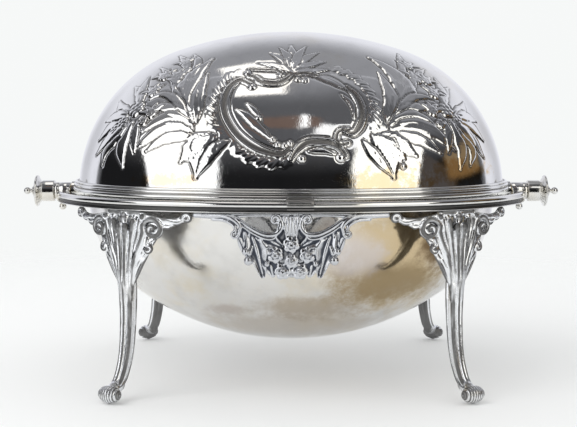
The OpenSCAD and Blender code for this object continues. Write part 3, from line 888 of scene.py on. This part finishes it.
LEG_R = DOME.e + RING_MID
LEG_TURN = math.radians(58.4)    # where the leg stands on the ring's end arc
HEAD_FROM = 92                   # height at which the shaft becomes the head
TOE_OUT, TOE_UP = 17.0, 5.7      # middle of the scroll toe
# middle of the shaft: outward from the ring's middle, height above the table
LEG_LINE = [(0, HEAD_FROM), (-1.2, 70), (-1.2, 48), (1.0, 28), (6.0, 13.5), (11.5, 7.5)]


def bend_to_ring(p):
    """Leg space (along the ring, outward, height above the table) to the right rear of the ring."""
    a = LEG_TURN + p[:, 0] / LEG_R
    r = LEG_R + p[:, 1]
    # below the head, the leg stands in one plane instead of following the ring's curve
    straight = np.clip((HEAD_FROM - p[:, 2]) / 8, 0, 1)
    centre = DOME.a - DOME.e
    ring = np.stack([centre + r * np.cos(a), r * np.sin(a)], -1)
    c, s = math.cos(LEG_TURN), math.sin(LEG_TURN)
    flat = np.stack([centre + r * c - p[:, 0] * s, r * s + p[:, 0] * c], -1)
    xy = flat * straight[:, None] + ring * (1 - straight[:, None])
    return np.column_stack([xy, p[:, 2]])


UNDER_RING = AXIS + RING_BASE


def hang(s, *pairs):
    """(along, up) spots on side s (-1 or 1) from (along, distance under the ring) pairs."""
    return [(s * x, UNDER_RING - drop) for x, drop in pairs]


def add_shaft(cast):
    """Shaft of a leg with two ribs and a ridge on its front and on its back."""
    shaft = [(0, o, z) for o, z in LEG_LINE]
    cast.tube(shaft, [2.4, 4.0, 3.8, 3.4, 3.2, 3.1], sides=20, steps=6)
    ankle = 20
    for face in (-1, 1):
        for s in (-1, 1):
            rib = [(s * w, o + face * w * 0.9, z + (1.2 if z < ankle else 0))
                   for (o, z), w in zip(LEG_LINE, (1.4, 2.9, 2.6, 2.35, 2.2, 2.2))]
            cast.tube(rib, [1.2, 1.6, 1.5, 1.4, 1.35, 1.3], sides=12, steps=6)
        ridge = [(0, o + face * w, z + (w * 0.6 if z < ankle else 0))
                 for (o, z), w in zip(LEG_LINE, (1.6, 4.2, 3.8, 3.4, 3.1, 2.9))]
        cast.tube(ridge, [0.8, 1.0, 0.95, 0.9, 0.85, 0.85], sides=10, steps=6)


def add_toe(cast):
    """Scroll toe of a leg: fine ribs over a round roll that rests on a flat pad."""
    for k in range(-3, 4):
        r = math.sqrt(4.5 ** 2 - (0.95 * k) ** 2)
        a = np.linspace(0, 2 * math.pi, 13)
        ring = [(k * 1.5, TOE_OUT + r * math.cos(t), TOE_UP + r * math.sin(t)) for t in a]
        cast.tube(ring, [0.85, 0.85], sides=10, steps=2)
    cast.tube([(x, TOE_OUT, TOE_UP) for x in (-4.2, 0, 4.2)], [3.7, 4.6, 3.7], sides=24)
    cast.tube([(0, 8, 9.4), (0, 13, 8.2), (0, TOE_OUT, 6.6)], [3.5, 3.9, 4.0], sides=16)
    for s in (-1, 1):
        cast.ball((s * 5.6, TOE_OUT, TOE_UP), 1.6)
    cast.tube([(0, TOE_OUT, 4.4), (0, TOE_OUT, 3.1)], [3.1, 3.1], sides=20)


def add_flutes(cast, top):
    """Trumpet of flutes that fan out from the shaft to the underside of the ring."""
    # along at each height, outward at each height, how far under the ring it ends, radii
    trumpet = (((0.9, 1.2, 1.6, 2.35), (2.4, 3.2, 3.0, 3.9), 9.5, (0.7, 1.1, 1.35, 1.95)),
               ((2.0, 3.2, 4.6, 7.0), (2.0, 2.2, 2.2, 2.7), 6.4, (0.7, 1.1, 1.3, 1.7)),
               ((2.8, 4.6, 7.4, 11.4), (1.6, 1.3, 1.3, 1.6), 5.6, (0.8, 1.1, 1.2, 1.5)))
    for along, outward, below, plump in trumpet:
        heights = (60, 76, HEAD_FROM, top - below)
        for s in (-1, 1):
            for face in (1, -0.7):
                flute = [(s * q, face * o, z) for q, o, z in zip(along, outward, heights)]
                cast.tube(flute, plump, sides=14)
    cast.tube([(0, 0.4, 70), (0, 0.6, 88), (0, 0.4, top - 4)], [2.6, 2.8, 3.4], sides=14)
    cast.tube([(-12, 0.2, top - 2), (12, 0.2, top - 2)], [2.1, 2.1], sides=12, steps=8)
    for s in (-1, 1):
        cast.tube([(s * 3, 0, 74), (s * 6, 0, 90), (s * 8, 0, top - 4)], [2.0, 2.4, 2.6], sides=14)


def add_volute(cast, s, top):
    """Rib that sweeps out from the shaft and winds into a volute, with leaves under it."""
    x, z, turns = 19.5, top - 11, 15
    a = np.radians(np.linspace(200, -330, turns))
    r = np.linspace(7.0, 1.5, turns)
    spiral = [(s * (x + q * math.cos(t)), 1.4 + 1.2 * i / (turns - 1), z + q * math.sin(t))
              for i, (q, t) in enumerate(zip(r, a))]
    cast.tube([(s * 3.2, 0.8, 60), (s * 4.4, 1.0, 72), (s * 7.0, 1.1, 84), (s * 10.8, 1.3, 94)]
              + spiral, [1.5, 1.7, 1.7, 1.5, 1.35, 1.2, 1.1], sides=12)
    cast.add(blob((s * x, -1.0, z), (6.2, 1.7, 6.2), 20))
    cast.ball((s * x, 2.2, z), 1.5)
    cast.leaf([(s * 4, 70), (s * 9.4, 82), (s * 17.5, 92)], 7, out=0.5, lift=0.6, cup=0.5)
    cast.leaf([(s * 8, 80), (s * 14, 92), (s * 21, 98)], 7, out=0.4, lift=0.8, cup=0.5)
    cast.leaf([(s * 9, 84), (s * 13.4, 97), (s * 13.6, 108)], 5.0, out=1.2, lift=0.8, cup=0.5)
    cast.curl((s * 16.4, 91.4), 2.7, 60 if s > 0 else 120, -s * 400, wire=0.95, out=1.4)
    cast.ball((s * 16.4, 1.4, 91.4), 1.6)
    cast.ball((s * 13.2, 2.2, top - 3.8), 1.8)


def add_arm(cast, s, top):
    """Leafy rod that dips under the ring and rises into a small curl against it."""
    rod = hang(s, (12, 3.0), (20, 4.6), (29, 5.6), (36.5, 4.6), (40.5, 1.9))
    cast.tube([(x, 0.2, z) for x, z in rod], [1.9, 1.8, 1.7, 1.6, 1.5], sides=14)
    cast.leaf(hang(s, (23, 7.2), (29, 8.2), (35, 6.4)), 5.4, out=1.3, lift=0.6, cup=0.5, lobes=2)
    cast.leaf(hang(s, (29, 5.4), (35, 6.2), (40.5, 4)), 4.2, out=1.6, lift=0.5, cup=0.3)
    cast.curl((s * 40.6, top - 3.9), 3.1, 180 if s > 0 else 0, -s * 430, wire=1.15, out=1.3, inner=0.3)
    cast.ball((s * 40.6, 1.6, top - 3.9), 1.4)


def build_leg(name):
    """Cast leg: a ribbed shaft from a scroll toe up to a fluted fan between volutes under the ring."""
    top = UNDER_RING
    cast = Casting()
    add_shaft(cast)
    add_toe(cast)
    add_flutes(cast, top)
    for s in (-1, 1):
        add_volute(cast, s, top)
        add_arm(cast, s, top)
    return cast.fuse(name, 0.4, bend_to_ring, dull=(0, -1, 0))


def bend_to_side(p):
    """Festoon space (along the side, outward from the ring's middle, height) to the rear side."""
    r = DOME.s + RING_MID
    a = math.pi / 2 - p[:, 0] / r
    out = r + p[:, 1]
    return np.column_stack([out * np.cos(a), DOME.b - DOME.s + out * np.sin(a), p[:, 2]])


def build_festoon(name):
    """Pierced festoon of scrolls, acanthus and flowers that hangs under a long side of the ring."""
    top = UNDER_RING
    cast = Casting()
    bar = [(-57, 1.9), (-40, 2.1), (-20, 1.4), (20, 1.4), (40, 2.1), (57, 1.9)]
    cast.tube([(x, 0, top - drop) for x, drop in bar], [1.6, 1.9, 1.1, 1.1, 1.9, 1.6], sides=12, steps=8)
    for s in (-1, 1):
        # outer hook: a hollow band that turns down and curls outward
        cast.tube([(s * 48, 0.6, top - 1.9), (s * 41, 1.0, top - 1.9), (s * 34.4, 1.4, top - 3.4),
                   (s * 29.8, 1.5, top - 7.6), (s * 30.4, 1.4, top - 12)], [1.1, 1.25, 1.4, 1.4, 1.2])
        cast.tube([(s * 46, 0.4, top - 4.2), (s * 39, 0.7, top - 4.6), (s * 33.6, 1.0, top - 7.2),
                   (s * 32.4, 1.1, top - 10.6)], [1.0, 1.1, 1.2, 1.1])
        cast.curl((s * 32.8, top - 12.4), 2.5, 180 if s > 0 else 0, s * 300, wire=1.15, out=1.3, inner=0.3)
        # scroll that sweeps in from the bar and turns up beside the shell, as two ridges and a web
        sweep = [(37, 1.6), (30, 4.4), (22, 9.6), (14.5, 12.7), (8.2, 11.8), (5.6, 7.6), (6.4, 3.4)]
        for shift, wire, out in ((0.0, 1.25, 1.1), (2.6, 1.05, 1.1), (1.3, 1.3, 0.0)):
            path = [(s * (x + (shift * 0.55 if x < 10 else 0)), out,
                     top - drop - shift * (0.85 if x > 8 else -0.3)) for x, drop in sweep]
            cast.tube(path, [wire * 0.8, wire, wire * 1.15, wire], sides=12)
        cast.curl((s * 9.2, top - 4.2), 3.0, 170 if s > 0 else 10, -s * 290, wire=1.3, out=1.2)
        # solid ground behind the leaves
        cast.leaf(hang(s, (29, 8.5), (22.5, 20), (12, 35)), 15, out=-0.9, lift=0.2, cup=0.1, thick=1.2)
        # acanthus: an outer spray, a long middle leaf and an inner leaf over the flowers
        cast.leaf(hang(s, (28, 6), (27.6, 13), (26.5, 21.5)), 8.0, out=0.3, lift=0.9, cup=1.6, lobes=2)
        cast.leaf(hang(s, (25, 9), (24.4, 18), (25.4, 27)), 7.5, out=0.0, lift=0.8, lobes=2)
        cast.leaf(hang(s, (24, 9), (20, 22), (16.2, 38.5)), 13, out=0.4, lift=1.2, cup=2.4, lobes=2)
        cast.leaf(hang(s, (20, 12.5), (12.5, 16), (5, 20.5)), 10.5, out=0.6, lift=1.1, cup=2.2, lobes=2)
        cast.leaf(hang(s, (16, 25), (12, 31), (10.5, 38)), 9.0, out=-0.1, lift=0.7, cup=1.4)
        cast.ball((s * 24.9, 1.2, top - 28), 2.8, 0.9)
        cast.ball((s * 26.6, 1.0, top - 22.8), 2.3, 0.9)
        cast.tube([(s * 23, 0, top - 20), (s * 24.5, 0.6, top - 24)], [1.2, 1.5])
        cast.flower((s * 9.4, 1.6, top - 24.4), 5.0, 6, 0.4 * s)
        cast.flower((s * 5.0, 1.7, top - 34.0), 4.9, 6, 1.0 * s)
        cast.ball((s * 14.0, 1.2, top - 29.6), 1.9)
    # fluted shell in the middle
    for k in range(-2, 3):
        rib = [(k * 1.0, 0.6, top - 17.5), (k * 1.6, 1.1, top - 11), (k * 2.1, 1.3, top - 3 + 0.3 * abs(k))]
        cast.tube(rib, [0.7, 0.8, 1.0], sides=10)
    cast.leaf([(0, top - 1.4), (0, top - 14), (0, top - 28), (0, top - 38)], 20, out=-0.9, lift=0.4, cup=0.1)
    cast.flower((0, 2.0, top - 18.4), 5.0, 6, 0.3)
    cast.flower((0, 2.4, top - 28.0), 4.2, 6, 0.9)
    return cast.fuse(name, 0.36, bend_to_side, reach=26)


def build_thumb_piece(name):
    """Smooth tab that leaves the border, bridges the ring and hangs over its outer edge."""
    box_low, box_high = low("thumb_piece"), high("thumb_piece")
    middle = (box_low[0] + box_high[0]) / 2
    half_w = (box_high[0] - box_low[0]) / 2
    tip = -DOME.b - box_low[1]
    top, under = EDGE + 2.4, RING_TOP + 0.4
    drop = min(box_low[2] - AXIS, RING_BASE + 1.2)    # height of the lip's lower edge
    cast = Casting()
    # outward stations with the half width, top and underside of the tab there
    stations = [(2.4, half_w - 1.8, top - 0.5, EDGE + 0.1), (5.0, half_w - 0.6, top - 0.15, under + 0.1),
                (8.5, half_w, top - 0.6, under), (12.2, half_w, top - 1.1, under),
                (tip - 1.7, half_w - 0.1, top - 1.7, under - 0.6),
                (tip - 0.5, half_w - 0.2, drop + 2.6, drop + 1.6),
                (tip - 0.3, half_w - 0.6, drop + 0.7, drop + 0.2)]
    cols = 61
    share = np.linspace(-1, 1, cols)
    edge = np.sqrt(np.clip(1 - np.abs(share) ** 8, 0, 1))
    flutes = 0.1 * np.abs(np.cos(share * math.pi * 1.5))
    rows = []
    for out, half, z1, z0 in curve_through(stations, 40):
        mid = (z1 + z0) / 2
        upper = np.stack([share * half, 0 * share + out, mid + (z1 - mid + flutes - 0.2) * edge], -1)
        lower = np.stack([share * half, 0 * share + out, mid - (mid - z0) * edge], -1)
        rows.append(np.concatenate([upper, lower[::-1]]))
    cast.add((np.concatenate(rows), closed_faces(len(rows), 2 * cols)))

    def bend(p):
        r = DOME.s + p[:, 1]
        t = -math.pi / 2 + (p[:, 0] + middle) / (DOME.s + RING_MID)
        return np.column_stack([r * np.cos(t), DOME.s - DOME.b + r * np.sin(t), AXIS + p[:, 2]])
    # upward faces are marked as hollows: painted shade on the tab's top
    return cast.fuse(name, 0.35, bend, dull=(0, 0, 1))


# ---------------------------------------------------------------- materials

class Nodes:
    """A material with one Principled shader, and short ways to add and link nodes."""

    def __init__(self, name):
        self.material = bpy.data.materials.new(name)
        self.material.use_nodes = True
        self.tree = self.material.node_tree
        self.tree.nodes.clear()
        self.shader = self.add("ShaderNodeBsdfPrincipled")
        output = self.add("ShaderNodeOutputMaterial")
        self.link(self.shader.outputs[0], output.inputs[0])

    def add(self, kind, **inputs):
        """A new node, with its inputs set by name (an underscore stands for a space)."""
        node = self.tree.nodes.new(kind)
        for key, value in inputs.items():
            node.inputs[key.replace("_", " ")].default_value = value
        return node

    def link(self, source, target):
        self.tree.links.new(source, target)

    def noise(self, scale, detail=3.0, rough=0.5, stretch=(1, 1, 1)):
        """Noise in the object's own metres, stretched along the axes where stretch is small."""
        where = self.add("ShaderNodeTexCoord")
        scaled = self.add("ShaderNodeMapping", Scale=stretch)
        self.link(where.outputs["Object"], scaled.inputs["Vector"])
        noise = self.add("ShaderNodeTexNoise", Scale=scale, Detail=detail, Roughness=rough)
        self.link(scaled.outputs[0], noise.inputs["Vector"])
        return noise.outputs["Fac"]

    def ramp(self, source, start, stop, low_value=0.0, high_value=1.0):
        """Smooth step of a value from start to stop."""
        node = self.add("ShaderNodeMapRange")
        node.interpolation_type = "SMOOTHSTEP"
        for i, value in enumerate((start, stop, low_value, high_value), 1):
            node.inputs[i].default_value = value
        self.link(source, node.inputs[0])
        return node.outputs[0]

    def math(self, kind, a, b):
        """Sum, product or difference of two values, each a number or a socket."""
        node = self.tree.nodes.new("ShaderNodeMath")
        node.operation = kind
        node.use_clamp = kind == "ADD"
        for i, value in enumerate((a, b)):
            if isinstance(value, float):
                node.inputs[i].default_value = value
            else:
                self.link(value, node.inputs[i])
        return node.outputs[0]

    def mix(self, share, a, b):
        """Blend of two colours, each a tuple or a socket."""
        node = self.tree.nodes.new("ShaderNodeMix")
        node.data_type = "RGBA"
        self.link(share, node.inputs["Factor"])
        for key, value in (("A", a), ("B", b)):
            socket = [s for s in node.inputs if s.name == key and s.type == "RGBA"][0]
            if isinstance(value, tuple):
                socket.default_value = (*value, 1)
            else:
                self.link(value, socket)
        return [s for s in node.outputs if s.type == "RGBA"][0]

    def patch(self, centre, size, ragged, grain):
        """Share (0 to 1) of a ragged patch round a centre with half axes size, in metres."""
        where = self.add("ShaderNodeTexCoord")
        scaled = self.add("ShaderNodeMapping", Scale=tuple(1 / q for q in size),
                          Location=tuple(-c / q for c, q in zip(centre, size)))
        self.link(where.outputs["Object"], scaled.inputs["Vector"])
        reach = self.tree.nodes.new("ShaderNodeVectorMath")
        reach.operation = "LENGTH"
        self.link(scaled.outputs[0], reach.inputs[0])
        torn = self.math("MULTIPLY", self.noise(grain, 6, 0.7), ragged)
        edge = self.math("SUBTRACT", reach.outputs["Value"], torn)
        return self.ramp(edge, 1.1 - ragged / 2, 0.4 - ragged / 2)

    def recess(self):
        """How hollow the surface is, as the mesh stores it."""
        node = self.add("ShaderNodeAttribute")
        node.attribute_name = "recess"
        return node.outputs["Fac"]


def silver(name, bright, rough, tarnish=0.5, yellow=(0.72, 0.60, 0.36), hollow_shade_and_tarnish=(0.10, 0.09, 0.08),
           recessed=0.0, cloud=0.0, stains=(), ragged=1.2, grain=85):
    """Silver plate: bright metal with patches of tarnish, stains, painted shade and tarnish in its recesses,
    and fine scratches.
    """
    n = Nodes(name)
    n.shader.inputs["Metallic"].default_value = 1.0
    # colour: yellow tarnish, greyer patches, stains, then painted shade and tarnish in the hollows
    patches = n.ramp(n.noise(22, 5, 0.6), 0.5, 0.72, 0.0, tarnish)
    colour = n.mix(patches, bright, yellow)
    grey = n.ramp(n.noise(60, 4, 0.6), 0.45, 0.75, 0.0, 0.35)
    colour = n.mix(grey, colour, tuple(c * 0.72 for c in bright))
    for centre, size, share, tint in stains:
        colour = n.mix(n.math("MULTIPLY", n.patch(centre, size, ragged, grain), share), colour, tint)
    # painted shade and tarnish: the hollows, as the mesh's recess values mark them, take the dark colour
    if recessed:
        hollow = n.ramp(n.recess(), 0.15, 1.0, 0.0, recessed)
        colour = n.mix(hollow, colour, hollow_shade_and_tarnish)
    n.link(colour, n.shader.inputs["Base Color"])
    # roughness: uneven polish, a cloudy veil, and duller hollows
    dull = n.ramp(n.noise(90, 6, 0.65), 0.35, 0.75, rough * 0.65, rough * 1.5)
    if cloud:
        dull = n.math("ADD", dull, n.ramp(n.noise(9, 4, 0.6, (1, 1, 2)), 0.4, 0.7, 0.0, cloud))
    if recessed:
        dull = n.math("ADD", dull, n.ramp(n.recess(), 0.1, 0.9, 0.0, 0.3))
    n.link(dull, n.shader.inputs["Roughness"])
    # fine scratches and small dents
    bump = n.add("ShaderNodeBump", Strength=0.05, Distance=0.0004)
    fine = n.math("ADD", n.noise(700, 2, 0.7, (1, 0.15, 0.6)), n.math("MULTIPLY", n.noise(160, 3), 0.8))
    n.link(fine, bump.inputs["Height"])
    n.link(bump.outputs[0], n.shader.inputs["Normal"])
    return n.material


def plain_metal(name, colour, rough):
    """Turned hardware: fine rings round the pivot axis and a worn, uneven shine."""
    n = Nodes(name)
    n.shader.inputs["Metallic"].default_value = 1.0
    worn = n.ramp(n.noise(120, 4), 0.35, 0.7)
    n.link(n.mix(worn, colour, tuple(c * 0.6 for c in colour)), n.shader.inputs["Base Color"])
    n.link(n.ramp(n.noise(300, 3), 0.3, 0.7, rough * 0.7, rough * 1.4), n.shader.inputs["Roughness"])
    bump = n.add("ShaderNodeBump", Strength=0.1, Distance=0.0003)
    n.link(n.noise(1500, 2, 0.6, (1, 0.02, 0.02)), bump.inputs["Height"])
    n.link(bump.outputs[0], n.shader.inputs["Normal"])
    return n.material


AXIS_M = AXIS * MM
# stains: centre and half axes in metres, share of the tint, tint
DOME_STAINS = (((0.101, -0.072, AXIS_M + 0.0165), (0.028, 0.032, 0.0085), 0.7, (0.66, 0.44, 0.17)),
               ((0.054, -0.097, AXIS_M + 0.011), (0.030, 0.03, 0.011), 0.7, (0.72, 0.54, 0.27)),
               ((-0.072, -0.088, AXIS_M + 0.012), (0.024, 0.03, 0.0045), 0.6, (0.93, 0.66, 0.36)))
BOWL_STAINS = (((0.0, -0.045, AXIS_M - 0.082), (0.075, 0.07, 0.012), 0.6, (0.58, 0.52, 0.45)),
               ((0.064, -0.075, AXIS_M - 0.034), (0.050, 0.07, 0.050), 0.9, (0.62, 0.48, 0.28)),
               ((0.060, -0.070, AXIS_M - 0.052), (0.044, 0.07, 0.017), 0.82, (0.36, 0.27, 0.15)),
               ((0.040, -0.080, AXIS_M - 0.034), (0.021, 0.05, 0.017), 0.6, (0.68, 0.65, 0.68)),
               ((0.091, -0.060, AXIS_M - 0.026), (0.016, 0.05, 0.024), 0.9, (0.13, 0.08, 0.04)),
               ((0.012, -0.055, AXIS_M - 0.068), (0.040, 0.06, 0.011), 0.7, (0.46, 0.38, 0.28)),
               ((-0.040, -0.050, AXIS_M - 0.070), (0.014, 0.05, 0.005), 0.6, (0.50, 0.43, 0.38)))
# recessed sets how strongly the hollows are painted with shade and tarnish in the given dark colour
CHASED = silver("chased_silver", (0.86, 0.86, 0.86), 0.065, 0.2, recessed=0.8,
                stains=DOME_STAINS, ragged=3.2, grain=150)
BORDER = silver("border_silver", (0.84, 0.84, 0.83), 0.07, 0.25, recessed=0.7)
# near-black painted shade and tarnish in the ring's hollow between lip and bead
RING = silver("ring_silver", (0.78, 0.78, 0.77), 0.08, 0.3, hollow_shade_and_tarnish=(0.03, 0.03, 0.03), recessed=0.9)
POLISHED = silver("polished_silver", (0.80, 0.80, 0.79), 0.09, 0.25)
CAST = silver("cast_silver", (0.91, 0.925, 0.95), 0.24, 0.2, yellow=(0.56, 0.50, 0.40),
              hollow_shade_and_tarnish=(0.05, 0.045, 0.04), recessed=0.8)
# darker copy of the cast silver for the festoons: painted shade
SHADED_CAST = silver("darkened_silver", (0.63, 0.645, 0.68), 0.24, 0.25, yellow=(0.42, 0.38, 0.30),
                  hollow_shade_and_tarnish=(0.085, 0.095, 0.12), recessed=1.0)
CLOUDED = silver("clouded_silver", (0.80, 0.79, 0.77), 0.10, 0.4, cloud=0.2, stains=BOWL_STAINS)
LINED = silver("liner_silver", (0.90, 0.89, 0.86), 0.16, 0.25)
STEEL = plain_metal("turned_steel", (0.60, 0.60, 0.60), 0.3)
BRASS = plain_metal("washer_brass", (0.78, 0.62, 0.34), 0.28)


# ---------------------------------------------------------------- assembly

def place(ob, body, slot, material, *nodes):
    """Dresses a piece, lets it ride on its body, and hides the CAD nodes it stands for."""
    ob.data.materials.clear()
    ob.data.materials.append(material)
    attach(ob, body)
    if nodes:
        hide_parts(*nodes)


place(build_dome(), "cover", "chased_silver", CHASED, "lid_dome")
place(build_border(), "cover", "chased_silver", BORDER, "lid_border")
place(build_thumb_piece("thumb_tab"), "cover", "chased_silver", BORDER, "thumb_piece")
place(build_ring(), "stand", "polished_silver", RING, "frame_ring")
place(build_bowl(), "stand", "polished_silver", CLOUDED, "bowl")
place(build_bowl_rim(), "stand", "polished_silver", POLISHED, "bowl_rim")
place(build_liner(), "liner", "polished_silver", LINED, "liner_dish")
place(build_liner_border(), "liner", "polished_silver", POLISHED, "liner_border")
for side, end in (("left", -1), ("right", 1)):
    place(build_saddle("saddle_" + side, end), "stand", "polished_silver", POLISHED)
    for build, piece, node in ((build_housing, "bearing_", "bearing_housing_"),
                               (build_knob, "knob_", "end_knob_"),
                               (build_finial, "ball_finial_", "finial_"),
                               (build_screw, "ball_screw_", "lock_screw_")):
        place(build(piece + side, end), "stand", "polished_silver", POLISHED, node + side)

leg = build_leg("leg_cast_rear_right")
legs = {"rear_right": leg}
for corner, flips in (("rear_left", (True, False)), ("front_right", (False, True)),
                      ("front_left", (True, True))):
    legs[corner] = mirrored(leg, "leg_cast_" + corner, *flips)
for corner, ob in legs.items():
    place(ob, "stand", "cast_silver", CAST, "leg_" + corner)
festoon = build_festoon("festoon_cast_rear")
place(festoon, "stand", "cast_silver", SHADED_CAST, "festoon_rear")
place(mirrored(festoon, "festoon_cast_front", True, True), "stand", "cast_silver", SHADED_CAST, "festoon_front")

# CAD nodes that show as they are, by the start of their names
KEPT = {"pivot_pin": STEEL, "thrust_washer": BRASS, "bowl_boss": POLISHED, "lid_ear": BORDER,
        "drainer": LINED}
for node, ob in frame["nodes"].items():
    for start, material in KEPT.items():
        if node.startswith(start):
            ob.data.materials.clear()
            ob.data.materials.append(material)


# ---------------------------------------------------------------- studio

def step(value, start, stop):
    """Smooth step from 0 to 1 between start and stop."""
    t = np.clip((value - start) / (stop - start), 0, 1)
    return t * t * (3 - 2 * t)


# what the metal mirrors: sideways share from and to, pitch from and to in degrees, colour;
# each lies over the ones before it
MIRRORED = ((-0.845, -0.415, -20, 72, (1.5, 1.5, 1.5)),    # two tall windows
            (0.36, 0.72, -20, 58, (1.5, 1.47, 1.38)),
            (0.13, 0.37, 37, 52, (1.2, 1.2, 1.2)),         # small window beside the right one
            (-0.27, -0.03, 75, 106, (1.4, 1.36, 1.3)),     # skylight
            (-0.26, 0.16, 49, 57, (0.17, 0.12, 0.10)),     # brown shelf
            (0.73, 0.975, -20, 44, (0.075, 0.065, 0.06)),  # dim wall
            (0.05, 0.09, 49, 58, (1.4, 1.4, 1.4)))         # lamp over the shelf
BROWN = (0.24, 0.17, 0.095)    # furniture beyond the right end


def studio_light(azimuth, elevation):
    """Colour that the metal mirrors from a direction, in degrees. Azimuth 0 is the thumb-piece side."""
    wide = np.abs(azimuth)
    sideways = np.sin(np.radians(azimuth)) * np.cos(np.radians(elevation))
    ahead = np.cos(np.radians(azimuth)) * np.cos(np.radians(elevation))
    pitch = np.degrees(np.arctan2(np.sin(np.radians(elevation)), ahead))

    def window(s0, s1, p0, p1):
        """Share of a rectangle with soft edges."""
        inside = step(sideways, s0 - 0.012, s0 + 0.012) * (1 - step(sideways, s1 - 0.012, s1 + 0.012))
        return inside * step(pitch, p0 - 1, p0 + 1) * (1 - step(pitch, p1 - 1, p1 + 1))
    # a dark room in front that is greyer above and at the sides, and a pale backdrop behind
    behind = step(wide, 113, 117)
    grey = 0.012 + 0.10 * step(elevation, 14, 42) + 0.20 * step(elevation, 62, 88)
    grey += 0.17 * step(elevation, 30, 58) * step(wide, 52, 86)
    grey += 0.16 * step(wide, 108, 113) * (1 - behind)
    backdrop = 0.88 - 0.56 * step(elevation, 26, 62)
    backdrop -= 0.22 * step(wide, 122, 138) * (1 - step(wide, 142, 160)) * (1 - step(elevation, 14, 30))
    white = grey * (1 - behind) + backdrop * behind
    colour = white[..., None] * np.array([0.97, 0.98, 1.05])
    for *reach, tint in MIRRORED:
        share = window(*reach)[..., None]
        colour = colour * (1 - share) + np.array(tint) * share
    brown = step(azimuth, 70, 76) * (1 - step(azimuth, 106, 112))
    brown = (brown * step(elevation, 8, 12) * (1 - step(elevation, 22, 28)))[..., None]
    return colour * (1 - brown) + np.array(BROWN) * brown


def build_studio():
    """Surround that only the metal mirrors, and that no camera or shadow sees."""
    az = np.radians(np.linspace(-180, 180, 361))[:-1]
    el = np.radians(np.linspace(-30, 90, 121))
    a, e = np.meshgrid(az, el)
    r = 3000    # far enough to count as all round
    verts = np.stack([r * np.cos(e) * np.sin(a), -r * np.cos(e) * np.cos(a), r * np.sin(e)], -1)
    ob = mesh_object("studio", verts.reshape(-1, 3), grid_faces(len(el), len(az), False, True))
    glow = studio_light(np.degrees(a), np.degrees(e)).reshape(-1, 3)
    glow = np.column_stack([glow, np.ones(len(glow))])
    ob.data.attributes.new("glow", "FLOAT_COLOR", "POINT").data.foreach_set("color", glow.ravel())
    material = bpy.data.materials.new("studio_glow")
    material.use_nodes = True
    tree = material.node_tree
    tree.nodes.clear()
    value = tree.nodes.new("ShaderNodeAttribute")
    value.attribute_name = "glow"
    emission = tree.nodes.new("ShaderNodeEmission")
    output = tree.nodes.new("ShaderNodeOutputMaterial")
    tree.links.new(value.outputs["Color"], emission.inputs["Color"])
    tree.links.new(emission.outputs[0], output.inputs[0])
    ob.data.materials.append(material)
    ob.visible_camera = False
    ob.visible_diffuse = False
    ob.visible_shadow = False


FLOOR_FADE = (0.25, 0.9)    # distances in metres at which the paper starts to fade and is gone


def build_floor():
    """Pale round sheet of paper that melts into the backdrop away from the dish."""
    r = np.concatenate([[0.01], np.geomspace(50, 4000, 40)])
    a = np.linspace(0, 2 * math.pi, 96, endpoint=False)
    just_under = -0.2    # so that the feet don't share a face with the paper
    verts = [(q * math.cos(t), q * math.sin(t), just_under) for q in r for t in a]
    ob = mesh_object("floor", verts, grid_faces(len(r), len(a), False, True))
    material = bpy.data.materials.new("floor_paper")
    material.use_nodes = True
    tree = material.node_tree
    shader = tree.nodes["Principled BSDF"]
    shader.inputs["Base Color"].default_value = (0.76, 0.76, 0.76, 1)
    shader.inputs["Emission Color"].default_value = (1, 1, 1, 1)
    shader.inputs["Emission Strength"].default_value = 0.14
    shader.inputs["Roughness"].default_value = 0.9
    where = tree.nodes.new("ShaderNodeTexCoord")
    reach = tree.nodes.new("ShaderNodeVectorMath")
    reach.operation = "LENGTH"
    fade = tree.nodes.new("ShaderNodeMapRange")
    fade.interpolation_type = "SMOOTHSTEP"
    for i, value in enumerate((FLOOR_FADE[0], FLOOR_FADE[1], 1.0, 0.0), 1):
        fade.inputs[i].default_value = value
    tree.links.new(where.outputs["Object"], reach.inputs[0])
    tree.links.new(reach.outputs["Value"], fade.inputs[0])
    tree.links.new(fade.outputs[0], shader.inputs["Alpha"])
    ob.data.materials.append(material)


def build_world():
    """Pale backdrop that the camera sees and that lights the satin metal."""
    world = bpy.data.worlds.new("studio_world")
    world.use_nodes = True
    background = world.node_tree.nodes["Background"]
    background.inputs["Color"].default_value = (0.925, 0.94, 0.935, 1)
    background.inputs["Strength"].default_value = 1.0
    bpy.context.scene.world = world


def soft_light(name, power, size, place_at, aim):
    """Soft rectangular lamp that lights the floor and the satin metal, unseen by mirrors."""
    light = bpy.data.lights.new(name, "AREA")
    light.energy, light.shape, light.size = power, "SQUARE", size
    ob = bpy.data.objects.new(name, light)
    ob.location = place_at
    ob.rotation_euler = (Vector(aim) - Vector(place_at)).to_track_quat("-Z", "Y").to_euler()
    ob.visible_glossy = False
    bpy.context.scene.collection.objects.link(ob)


CAMERA_AT = (-0.00166, -0.865, 0.177)
CAMERA_DOWN = 4.81    # degrees below level
CAMERA_LENS = 81.1    # millimetres, on a sensor 36 mm wide


def build_camera():
    """Camera at the photograph's viewing angle, without shift."""
    data = bpy.data.cameras.new("camera")
    data.sensor_width, data.lens = 36.0, CAMERA_LENS
    ob = bpy.data.objects.new("camera", data)
    ob.location = CAMERA_AT
    ob.rotation_euler = (math.radians(90 - CAMERA_DOWN), 0, 0)
    bpy.context.scene.collection.objects.link(ob)
    bpy.context.scene.camera = ob


build_studio()
build_floor()
build_world()
soft_light("key_light", 9, 1.2, (-0.9, -0.9, 1.3), (0, 0, 0.1))
build_camera()
bpy.context.scene.view_settings.view_transform = "Standard"
